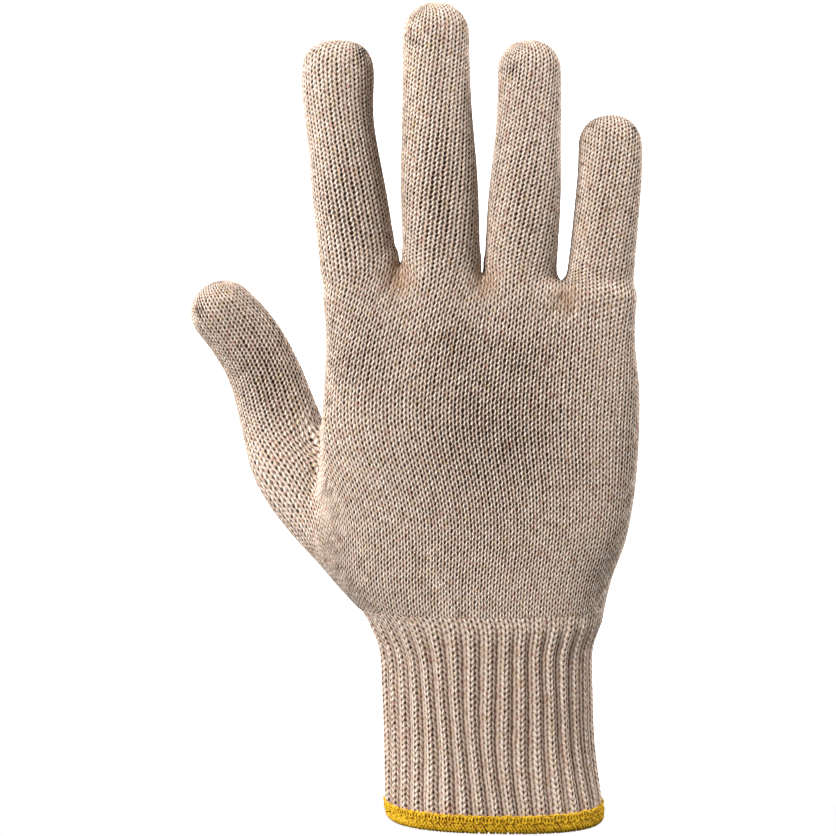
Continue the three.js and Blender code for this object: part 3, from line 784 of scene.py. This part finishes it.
fine_points, fine_quads, fine_uv, fine_owner, (coarse_total, coarse_ends) = fine
fine_normals = point_normals(fine_points, fine_quads)
fine_points = fine_points + fine_normals * folds_at(fine_points, fine_normals)[:, None]
fine_normals = point_normals(fine_points, fine_quads)
stretch = stretch_at(fine_points)
stitch_at = np.zeros((len(fine_points), 2))
stitch_at[fine_quads.ravel()] = fine_uv.reshape(-1, 2)
relief = knit_relief(stitch_at, stretch)
knitted = fine_points + fine_normals * relief[:, None]
knitted_normals = point_normals(knitted, fine_quads)
print("relief from", round(relief.min(), 2), "to", round(relief.max(), 2), "mm")

# %% [markdown]
# ## Cutting the glove into its pieces
# The solid model has one part for each tube, so the knitting is cut along the same courses. Every
# piece is a closed wall: the embossed outside, a smoother lining a wall's thickness further in,
# and a narrow rim between them. The shading normals come from the whole glove, so no joint shows.

# %% Build the knitted pieces
WALL = 1.25  # from the middle of the relief to the lining
lining_normals = -point_normals(coarse[0], coarse[1])
lining_points = coarse[0] + lining_normals * WALL
edge_number = {(a, b): coarse_total + k for k, (a, b) in enumerate(coarse_ends.tolist())}


def mesh_object(name, verts, faces, uvs, normals, material, floats):
    mesh = bpy.data.meshes.new(name)
    mesh.from_pydata((verts * MM).tolist(), [], faces)
    layer = mesh.uv_layers.new(name="stitches")
    layer.data.foreach_set("uv", np.array(uvs, dtype=np.float32).ravel())
    for key, values in floats.items():
        mesh.attributes.new(key, "FLOAT", "POINT").data.foreach_set(
            "value", np.array(values, dtype=np.float32))
    mesh.shade_smooth()
    if normals is not None:
        mesh.normals_split_custom_set_from_vertices(normals.tolist())
    mesh.materials.append(material)
    obj = bpy.data.objects.new(name, mesh)
    bpy.context.scene.collection.objects.link(obj)
    triangles = sum(len(f) - 2 for f in faces)
    print(f"{name}: {triangles} triangles")
    return obj


def knitted_piece(name, owner, material):
    outside, inside = fine_owner == owner, coarse[3] == owner
    out_q, out_uv = fine_quads[outside], fine_uv[outside]
    in_q, in_uv = coarse[1][inside], coarse[2][inside]
    out_ids, in_ids = np.unique(out_q), np.unique(in_q)
    out_map = {int(v): k for k, v in enumerate(out_ids)}
    in_map = {int(v): len(out_ids) + k for k, v in enumerate(in_ids)}
    directed = {}
    for face, face_uv in zip(in_q.tolist(), in_uv.tolist()):
        for k in range(4):
            directed[(face[k], face[(k + 1) % 4])] = (face_uv[k], face_uv[(k + 1) % 4])
    faces = [[out_map[v] for v in face] for face in out_q.tolist()]
    uvs = out_uv.reshape(-1, 2).tolist()
    faces += [[in_map[v] for v in face[::-1]] for face in in_q.tolist()]
    uvs += in_uv[:, ::-1].reshape(-1, 2).tolist()
    for (a, b), (ua, ub) in directed.items():
        if (b, a) in directed:
            continue
        m = edge_number[(min(a, b), max(a, b))]
        middle = [(ua[0] + ub[0]) / 2, (ua[1] + ub[1]) / 2]
        faces += [[out_map[m], out_map[a], in_map[a]], [out_map[b], out_map[m], in_map[b]],
                  [in_map[b], out_map[m], in_map[a]]]
        uvs += [middle, ua, ua, ub, middle, ub, ub, middle, ua]
    verts = np.vstack([knitted[out_ids], lining_points[in_ids]])
    normals = np.vstack([knitted_normals[out_ids], lining_normals[in_ids]])
    floats = {"stretch": np.r_[stretch[out_ids], stretch_at(lining_points[in_ids])]}
    return mesh_object(name, verts, faces, uvs, normals, material, floats)


# %% [markdown]
# ## Cotton yarn
# The yarn is unbleached and partly recycled cotton, spun soft: a matt, slightly fuzzy fibre
# whose colour drifts from cream to pinkish and yellowish beige from one stretch to the next. Its
# shader draws each stitch from the stitch coordinates, so the pattern follows every curve of the
# knitting: cords 1.1 mm apart, openings every 1.6 mm, and fine slanting plies. It also paints
# light and shade into the colour: painted highlights on the cords, painted shade between them
# and dark painted shade in the openings. Diffuse fibre has an IOR near 1.5 and a very high
# roughness, and a little sheen for the fuzz.

# %% The two stitch patterns
MATH = "ShaderNodeMath"
plus, minus, times, times_plus, over, power, root, rounded, floored, modulo, size_of, sine, cosine = (
    (MATH, {"operation": name}) for name in (
        "ADD", "SUBTRACT", "MULTIPLY", "MULTIPLY_ADD", "DIVIDE", "POWER", "SQRT", "ROUND", "FLOOR",
        "FLOORED_MODULO", "ABSOLUTE", "SINE", "COSINE"))
pull_of = ("ShaderNodeAttribute", {"attribute_name": "stretch"})


def weighted_sum(add, total, *terms):
    """A start and some more values, each of them times its weight."""
    for value, weight in terms:
        total = add(times_plus, value, weight, total)
    return total


def oval_spot(add, across, along_it, wide, tall):
    """One within an oval's middle, nought outside it, with a soft edge between."""
    x = add(power, add(over, across, wide), 2.0)
    y = add(power, add(over, along_it, tall), 2.0)
    far = add(root, add(plus, x, y))
    return add(("ShaderNodeMapRange", {"interpolation_type": "SMOOTHSTEP"}), far, 0.5, 1.3, 1.0, 0.0)


def chance_of(add, column, row):
    cell = add("ShaderNodeCombineXYZ", column, row)
    return add(("ShaderNodeTexWhiteNoise", {"noise_dimensions": "2D"}), cell)


def stitch_marks(add, u, v, slope, bore):
    """Openings in upright columns, staggered like bricks, and between them the cords' strokes."""
    cord = add(times, u, 2.0)
    near = add(rounded, cord)
    dx = add(minus, cord, near)
    shifted = add(times_plus, add(modulo, near, 2.0), 0.5, v)
    row = add(rounded, shifted)
    dy = add(minus, shifted, row)
    pull = add(pull_of).outputs["Fac"]
    wide = weighted_sum(add, bore, (pull, 0.11), (chance_of(add, near, row), 0.10))
    leaning = add(times_plus, dy, -LEAN, dx)
    opening = oval_spot(add, leaning, dy, wide, add(times, wide, 1.45))
    raised = add(sine, add(times, add(size_of, dx), math.pi))
    between = add(floored, cord)
    inside = add(minus, add(minus, cord, between), 0.5)
    left_leg = add(modulo, between, 2.0)
    way = add(times_plus, left_leg, -2.0, 1.0)
    rise = add(times, add(times, inside, way), -slope)
    step = add(plus, add(plus, v, rise), 0.25)
    stroke = add(times, add(cosine, add(times, step, TAU)), raised)
    return opening, raised, stroke, near, pull, left_leg


def jersey_pattern(add, u, v):
    """Every second column of openings is painted in bolder shade, and every second cord gets a
    painted highlight.
    """
    opening, raised, stroke, near, pull, left_leg = stitch_marks(add, u, v, slope=1.5, bore=0.185)
    faint = add(times_plus, add(modulo, near, 2.0), -0.25, 1.1)
    dark = add(times, add(times_plus, pull, 0.2, 0.9), faint)
    bright = add(times_plus, left_leg, -0.55, 1.0)
    ply = add(plus, add(times, stroke, bright), 0.2)
    return add(times, opening, dark), raised, add(times_plus, left_leg, -0.25, ply)


RIB_COURSES = 37


def rib_pattern(add, u, v):
    """Two columns of stitches to a rib: one stands up and is painted lighter, one lies sunk and is
    painted duller.
    """
    twice = add(times, u, 2.0)
    opening, raised, stroke = stitch_marks(add, twice, v, slope=1.0, bore=0.135)[:3]
    turn = add(times, u, TAU)
    fade = add("ShaderNodeMapRange", v, RIB_COURSES - 5, RIB_COURSES, 1.0, 0.0)
    crest = add(times, add(cosine, turn), fade)
    flank = add(times, add(sine, turn), fade)
    # Painted light on the ribs: the crest's strokes are painted lighter and one flank's a little
    # darker, and the openings on the crest and on that flank are painted in deeper shade.
    dark = weighted_sum(add, 0.9, (fade, -0.2), (crest, 0.25), (flank, 0.25))
    steep = weighted_sum(add, 0.45, (crest, 0.2), (flank, 0.2))
    ply = weighted_sum(add, add(times, stroke, steep), (crest, 0.3), (flank, -0.1), (fade, -0.2))
    return add(times, opening, dark), raised, ply


# %% Cotton materials
CREAM, PINKISH, YELLOWISH, GREYISH = "#f6e4d3", "#dcb39e", "#dfc9a0", "#b8a697"
# The openings between the stitches are painted this dark brown, as painted shade.
PAINTED_OPENING_SHADE = "#241005"
PAINTED_ROOT_SHADE = "#b98a5e"  # painted warm shade in the finger roots, where the yarn is gathered and light reaches it only through other yarn
SHADED = "#65452f"  # painted shade for yarn deep in the knitting, which light reaches only through the fibres around it
SPECKS = [  # a yarn colour, its noise's seed and scale in 1/m, and how rare it is
    (PINKISH, 0.0, 620.0, 0.50), (YELLOWISH, 3.7, 540.0, 0.53), (GREYISH, 8.1, 700.0, 0.56),
]
MIX = ("ShaderNodeMix", {"data_type": "RGBA"})
SHADE_BY = ("ShaderNodeMix", {"data_type": "RGBA", "blend_type": "MULTIPLY"})
SKIPPED = [None] * 5  # a mix node's sockets for numbers and vectors, before those for colours


def cotton_material(name, pattern, wobble):
    material, add = new_material(name)
    where = add(("ShaderNodeUVMap", {"uv_map": "stitches"}))
    place = add("ShaderNodeTexCoord").outputs["Object"]
    loose = add("ShaderNodeTexNoise", Vector=place, Scale=420.0, Detail=1.0)
    parts = add("ShaderNodeSeparateXYZ", where)
    drift = add("ShaderNodeSeparateXYZ", loose.outputs["Color"])
    u, v = (add(times_plus, add(minus, drift.outputs[k], 0.5), wobble[k], parts.outputs[k])
            for k in (0, 1))
    opening, raised, ply = pattern(add, u, v)
    colour = linear_colour(CREAM)
    for hex_code, seed, scale, rare in SPECKS:
        noise = add(("ShaderNodeTexNoise", {"noise_dimensions": "4D"}), Vector=place, W=seed,
                    Scale=scale, Detail=3.0, Roughness=0.65)
        part = add("ShaderNodeMapRange", noise, rare, rare + 0.16)
        colour = add(MIX, part, *SKIPPED, colour, linear_colour(hex_code)).outputs[2]
    # Painted warm shade where the stretch is below nought, in the gathered finger roots.
    pull = add(pull_of).outputs["Fac"]
    root_shade_share = add("ShaderNodeMapRange", pull, 0.0, -0.8, 0.0, 0.6)
    colour = add(MIX, root_shade_share, *SKIPPED, colour, linear_colour(PAINTED_ROOT_SHADE)).outputs[2]
    fuzz = add("ShaderNodeTexNoise", Vector=place, Scale=2200.0, Detail=2.0)
    # Painted light and shade: the cords' middles and their ply strokes are painted lighter, the yarn
    # between the cords is painted darker towards SHADED, and the openings are painted in their dark
    # shade.
    light = weighted_sum(add, 0.12, (fuzz, 0.40), (raised, 0.30))
    light = add((MATH, {"operation": "MULTIPLY_ADD", "use_clamp": True}), ply, 0.46, light)
    lit = add(MIX, light, *SKIPPED, linear_colour(SHADED), linear_colour("#ffffff")).outputs[2]
    shade = add(SHADE_BY, 1.0, *SKIPPED, colour, lit).outputs[2]
    shade = add(MIX, opening, *SKIPPED, shade, linear_colour(PAINTED_OPENING_SHADE)).outputs[2]
    height = weighted_sum(add, raised, (fuzz, 0.35), (ply, 0.35), (opening, -1.2))
    bump = add("ShaderNodeBump", Strength=0.8, Distance=0.0003, Height=height)
    fibre = add("ShaderNodeBsdfPrincipled", Base_Color=shade, Roughness=0.92, IOR=1.5,
                Sheen_Weight=0.15, Sheen_Roughness=0.5, Specular_IOR_Level=0.2, Normal=bump)
    add("ShaderNodeOutputMaterial", fibre)
    return material


cotton_jersey = cotton_material("unbleached_cotton_jersey", jersey_pattern, (0.30, 0.35))
cotton_rib = cotton_material("unbleached_cotton_rib_knit", rib_pattern, (0.14, 0.45))
print(len(cotton_jersey.node_tree.nodes), "nodes in the jersey's cotton,",
      len(cotton_rib.node_tree.nodes), "in the rib's")

# %% Dress the jersey pieces
names = list(grids)
tubes_and_nodes = [("palm_lower", "palm"), ("palm_upper", "palm"), ("thumb", "thumb")]
tubes_and_nodes += [(name, name) for name in finger_names]
for tube_name, node in tubes_and_nodes:
    piece = knitted_piece("jersey_" + tube_name, names.index(tube_name), cotton_jersey)
    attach(piece, "root")
    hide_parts(node)

# %% [markdown]
# ## Rib cuff
# The cuff is knitted in one-and-one rib, which pulls together like elastic: 36 columns of
# face stitches stand up as ribs, and the columns between them sink into channels. Its crest line
# is the solid model's, an oval that is a little waisted, and the ribs are cut back from it by a
# formula in rib and course numbers. The wall's inner side is smooth and has fewer squares.

# %% The cuff's crest line
# share of the way up, share of the mouth's size, share of the wrist's size
CUFF_ROWS = [(0.13, 0.85, 0), (0.36, 0.1, 0), (0.66, 0, 0), (0.86, 0, 0.13), (1, 0, 1)]
MOUTH, WAIST = dict(width=64.6, depth=44.0), dict(width=62.4, depth=41.5)
RIBS, RIB_RISE = 36, 0.9
CUFF_WALL = 1.5
MOUTH_SWING = 1.1  # the mouth hangs this much towards the little finger's side
MOUTH_DROP = 0.5  # and this much lower there
MOUTH_ROUND = 2.4  # power of the mouth's outline: an oval has 2, and a higher one is squarer
MOUTH_FADE = 0.45  # share of the cuff over which these three fade out, going up
RIB_PROUD = 0.35  # the rib's yarn stands this far out of the crest line
RIB_FADE = 8.0  # mm below their top in which the ribs come up
CUFF_START = 0.4  # the cuff's own edge, inside the hem
HEM_HEIGHT = 5.6

near_mouth = lambda up: np.clip(1 - up / MOUTH_FADE, 0, 1) ** 1.5


def crest_oval(z):
    """Half width, half depth and middle of the crest line at some heights."""
    up = np.atleast_1d(z) / CUFF_LENGTH
    shares = smooth_table(CUFF_ROWS, np.clip(up.ravel(), CUFF_ROWS[0][0], 1))
    mouth, wrist = (column.reshape(up.shape) for column in shares.T)
    sizes = [MOUTH[k] * mouth + WAIST[k] * (1 - mouth - wrist) + WRIST[k] * wrist
             for k in ("width", "depth")]
    cuff = (sizes[0] / 2, sizes[1] / 2, WRIST["shift"] * up + MOUTH_SWING * near_mouth(up))
    heel = [np.interp(z, palm["c"][:, 2], column)
            for column in (palm["a"], palm["b"], palm["c"][:, 0])]
    low = np.atleast_1d(z) < CUFF_LENGTH
    return [np.where(low, below, above) for below, above in zip(cuff, heel)]


fine_turns = np.linspace(0, TAU, 2881)
edge_steps = np.hypot(MOUTH["width"] * np.sin(fine_turns), MOUTH["depth"] * np.cos(fine_turns))
edge_length = np.r_[0, np.cumsum((edge_steps[1:] + edge_steps[:-1]) / 2)]


def crest_points(share, z, outwards):
    """Points by their share of the way round the cuff, height, and distance outside the line."""
    share, z, outwards = np.broadcast_arrays(share, z, outwards)
    turn = np.interp(np.mod(share, 1), edge_length / edge_length[-1], fine_turns)
    half_wide, half_deep, middle = crest_oval(z)
    mouth = near_mouth(z / CUFF_LENGTH)
    c, s = -np.cos(turn), -np.sin(turn)
    fuller = (np.abs(c) ** MOUTH_ROUND + np.abs(s) ** MOUTH_ROUND) ** (-1 / MOUTH_ROUND)
    fuller = 1 + (fuller - 1) * mouth
    out = unit(np.stack([c / half_wide, s / half_deep], -1))
    x = half_wide * c * fuller + out[..., 0] * outwards
    y = half_deep * s * fuller + out[..., 1] * outwards
    return np.stack([middle + x, y, z - MOUTH_DROP * mouth * x / half_wide], -1)


# %% Relief of the rib knitting
def rib_relief(u, v, ribs):
    """Two columns of the plain stitch to a rib, the second one sunk between the ribs."""
    channel = (1 - np.cos(TAU * u)) / 2
    opened = -0.25 + 0.35 * np.cos(TAU * u) + 0.2 * np.sin(TAU * u)
    stitches = knit_relief(np.stack([2 * u, v], -1).reshape(-1, 2), opened.ravel()).reshape(u.shape)
    return RIB_PROUD * ribs + stitches - RIB_RISE * channel * ribs


def wall_of_rings(outer, inner):
    """A closed wall from an outer grid of rings and a coarser inner one with matching ends."""
    (rows, around), (in_rows, in_around) = outer.shape[:2], inner.shape[:2]
    step = around // in_around
    out_id = np.arange(rows * around).reshape(rows, around)
    in_id = rows * around + np.arange(in_rows * in_around).reshape(in_rows, in_around)
    ahead = lambda grid: np.roll(grid, -1, axis=1)
    faces = np.stack([out_id[:-1], ahead(out_id)[:-1], ahead(out_id)[1:], out_id[1:]], -1)
    back = np.stack([in_id[:-1], in_id[1:], ahead(in_id)[1:], ahead(in_id)[:-1]], -1)
    faces = faces.reshape(-1, 4).tolist() + back.reshape(-1, 4).tolist()
    for row, flip in ((0, 1), (-1, -1)):
        for i in range(in_around):
            a, b = in_id[row, i], in_id[row, (i + 1) % in_around]
            strip = [out_id[row, (i * step + k) % around] for k in range(step + 1)]
            loop = [int(n) for n in [a, b] + strip[::-1]]
            faces.append(loop[::flip])
    return faces


rib_points, rib_rows = 12, 4 * RIB_COURSES
levels = np.linspace(CUFF_START, RIB_TOP - 0.05, rib_rows + 1)
u, v = np.meshgrid(np.arange(RIBS * rib_points) / rib_points, np.arange(rib_rows + 1) / 4)
ribs_there = np.clip((RIB_TOP - levels[:, None]) / RIB_FADE, 0, 1) ** 0.8
sunk = rib_relief(u, v, ribs_there)
sunk = np.where(levels[:, None] < HEM_HEIGHT - 1, -RIB_RISE, sunk)  # flat where the hem grips it
turn = TAU * u / RIBS
# no rib stands quite straight
sway = 0.07 * np.sin(0.19 * v + 5 * turn) + 0.09 * np.sin(0.10 * v + 2 * turn)
outer = crest_points((u + sway) / RIBS, levels[:, None], sunk)
in_u, in_v = np.meshgrid(np.arange(RIBS * 4) / 4, np.arange(0, rib_rows + 1, 2))
inner = crest_points(in_u / RIBS, levels[::2][:, None], -(RIB_RISE + CUFF_WALL))
faces = wall_of_rings(outer, inner)
verts = np.vstack([outer.reshape(-1, 3), inner.reshape(-1, 3)])
stitch_of = np.vstack([np.stack([u, v], -1).reshape(-1, 2),
                       np.stack([in_u, in_v / 4], -1).reshape(-1, 2)])


def seamless(face_uvs, period):
    """Corner coordinates of a face that spans the place where the count starts again."""
    low = max(c[0] for c in face_uvs) - period / 2
    return [[c[0] + (period if c[0] < low else 0), c[1]] for c in face_uvs]


rib_uvs = [corner for face in faces for corner in seamless([stitch_of[n] for n in face], RIBS)]
rib_cuff = mesh_object("rib_knit_cuff", verts, faces, rib_uvs, None, cotton_rib, {})
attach(rib_cuff, "root")
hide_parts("rib_cuff")

# %% [markdown]
# ## Overlocked hem
# The machine closes the cuff's edge with thick yellow thread: wraps that lie side by side over
# the edge, and above them two threads that cross in a zigzag and lock the wraps down. Every
# thread here is a real tube, and the wraps lie close beside each other.

# %% Thread tubes
WRAPS = 176  # 0.96 mm apart


def thread_tubes(paths, beside, radius, closed=False, sides=6):
    """Closed tubes along many paths at once. Gives points, faces and lengthwise coordinates."""
    ahead, behind = np.roll(paths, -1, axis=1), np.roll(paths, 1, axis=1)
    heading = unit(ahead - behind) if closed else unit(np.gradient(paths, axis=1))
    across = unit(np.cross(heading, beside))
    lift = np.cross(across, heading)
    turns = TAU * np.arange(sides) / sides
    rings = (paths[:, :, None] + radius * (np.cos(turns)[:, None] * across[:, :, None]
                                           + np.sin(turns)[:, None] * lift[:, :, None]))
    tubes, steps = paths.shape[:2]
    ids = np.arange(tubes * steps * sides).reshape(tubes, steps, sides)
    far = np.roll(ids, -1, axis=1) if closed else ids[:, 1:]
    near = ids if closed else ids[:, :-1]
    quad = np.stack([near, far, np.roll(far, -1, axis=2), np.roll(near, -1, axis=2)], -1)
    faces = quad.reshape(-1, 4).tolist()
    if not closed:
        faces += ids[:, 0].tolist() + ids[:, -1, ::-1].tolist()
    gone = np.cumsum(np.linalg.norm(np.diff(paths, axis=1, prepend=paths[:, :1]), axis=2), axis=1)
    along = np.broadcast_to(gone[:, :, None], ids.shape)
    round_it = np.broadcast_to(np.arange(sides) / sides, ids.shape)
    return rings.reshape(-1, 3), faces, np.stack([along, round_it], -1).reshape(-1, 2)


def merged(parts):
    verts, faces, coords = [], [], []
    for part_verts, part_faces, part_coords in parts:
        start = sum(len(v) for v in verts)
        verts.append(part_verts)
        faces += [[n + start for n in face] for face in part_faces]
        coords.append(part_coords)
    return np.vstack(verts), faces, np.vstack(coords)


# %% Yellow thread materials
# Textured polyester thread, dyed yellow: fine filaments with a soft silky gloss. The darker
# copy, in DEEP_AMBER and IN_SHADE, is painted shade for the ring under the wraps.
YELLOW, AMBER, DEEP_AMBER, IN_SHADE = "#cfa51c", "#aa7a10", "#7d5508", "#3a2402"


def thread_material(name, bright, dark):
    material, add = new_material(name)
    place = add("ShaderNodeTexCoord").outputs["Object"]
    way = add("ShaderNodeSeparateXYZ", add(("ShaderNodeUVMap", {"uv_map": "stitches"})))
    turns = add(times_plus, way.outputs[0], 1.1, way.outputs[1])
    twist = add(sine, add(times, turns, TAU))
    blotch = add("ShaderNodeTexNoise", Vector=place, Scale=500.0, Detail=3.0)
    part = add("ShaderNodeMapRange", blotch, 0.4, 0.7)
    dyed = add(MIX, part, *SKIPPED, linear_colour(bright), linear_colour(dark)).outputs[2]
    fibre = add("ShaderNodeTexNoise", Vector=place, Scale=3000.0, Detail=2.0)
    height = add(times_plus, fibre, 0.5, twist)
    bump = add("ShaderNodeBump", Strength=0.6, Distance=0.0001, Height=height)
    silky = add("ShaderNodeBsdfPrincipled", Base_Color=dyed, Roughness=0.6, IOR=1.55,
                Specular_IOR_Level=0.2, Normal=bump)
    add("ShaderNodeOutputMaterial", silky)
    return material


yellow_thread = thread_material("yellow_polyester_thread", YELLOW, AMBER)
# The same thread in dark colours, as painted shade for the ring deep under the wraps.
shaded_thread = thread_material("yellow_thread_in_painted_shade", DEEP_AMBER, IN_SHADE)

# %% Wraps, zigzag threads and the edge under them
# A wrap runs down the outside, round the edge in a half circle and up the inside. Each leans a
# little more or less than the next.
THREAD, LOCK, CHAIN = 0.41, 0.29, 0.26  # radii of the wraps, the zigzags and the top thread
share = np.arange(WRAPS)[:, None] / WRAPS
half_circle = np.linspace(0, np.pi, 9)
wrap_out = np.r_[-0.3, -0.15, 0.0, 0.25, -1.6 + 1.9 * np.cos(half_circle), [-3.5] * 3]
wrap_up = np.r_[4.6, 4.0, 3.2, 2.4, 1.7 - 1.7 * np.sin(half_circle), 2.8, 3.8, 4.9]
OUTSIDE = 8  # points of a wrap on its way down
wrap_lean = np.interp(wrap_up[:OUTSIDE], [0.4, 4.0], [1.0, -1.2])
wrap_lean = np.r_[wrap_lean, np.full(len(wrap_up) - OUTSIDE, wrap_lean[-1])]
chance = np.random.default_rng(7)
wrap_lean = wrap_lean * chance.uniform(0.8, 1.25, (WRAPS, 1)) + chance.normal(0, 0.08, (WRAPS, 1))
wrap_out = wrap_out + chance.normal(0, 0.05, (WRAPS, 1))
paths = crest_points(share + wrap_lean / WRAPS, wrap_up, wrap_out)
round_edge = crest_points(share + 0.001, wrap_up, wrap_out) - crest_points(share, wrap_up, wrap_out)
parts = [thread_tubes(paths, unit(round_edge), THREAD)]
zig = np.arange(WRAPS * 6) / (WRAPS * 6)
outwards = unit(crest_points(zig, 4.25, 1) - crest_points(zig, 4.25, 0))[None]
for phase, out in ((0, 0.35), (0.5, 0.55)):
    swing = np.sin(TAU * (zig * WRAPS / 2 + phase))
    over_under = 0.15 * np.cos(TAU * zig * WRAPS / 2 * 2 + phase * TAU)
    loose = 0.25 * np.sin(TAU * zig * 37 + 3 * phase) + 0.2 * np.sin(TAU * zig * 23)
    path = crest_points(zig, 4.1 + 1.15 * swing + loose, out + over_under)[None]
    parts.append(thread_tubes(path, outwards, LOCK, closed=True))
path = crest_points(zig, 5.15 + 0.2 * np.sin(TAU * zig * WRAPS / 2), 0.2)[None]
parts.append(thread_tubes(path, outwards, CHAIN, closed=True))
thread_faces = sum(len(part[1]) for part in parts)

# A closed ring fills the space between the wraps, so no light comes through them. Its colour
# is painted shade: the dark copy of the thread's material.
bed_out = np.array([-0.3, -0.2, -0.1, -0.8, -2.3, -3.1, -3.1, -3.1, -2.4, -0.9])
bed_up = np.array([5.0, 3.0, 1.8, 0.55, 0.55, 1.8, 3.0, 4.8, 4.8, 5.1])
bed = crest_points(np.arange(120)[:, None] / 120, bed_up, bed_out)
ids = np.arange(bed.shape[0] * bed.shape[1]).reshape(bed.shape[:2])
turned = np.roll(ids, -1, axis=0)
bed_faces = np.stack([ids, np.roll(ids, -1, axis=1), np.roll(turned, -1, axis=1), turned], -1)
parts.append((bed.reshape(-1, 3), bed_faces.reshape(-1, 4).tolist(), np.zeros((bed.size // 3, 2))))
verts, faces, coords = merged(parts)
hem_uvs = [coords[n] for face in faces for n in face]
hem = mesh_object("overlock_hem_threads", verts, faces, hem_uvs, None, yellow_thread, {})
# The ring's faces get the thread in painted shade.
hem.data.materials.append(shaded_thread)
under_wraps = np.arange(len(faces)) >= thread_faces
hem.data.polygons.foreach_set("material_index", under_wraps.astype(int))
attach(hem, "root")
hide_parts("overlock_hem")
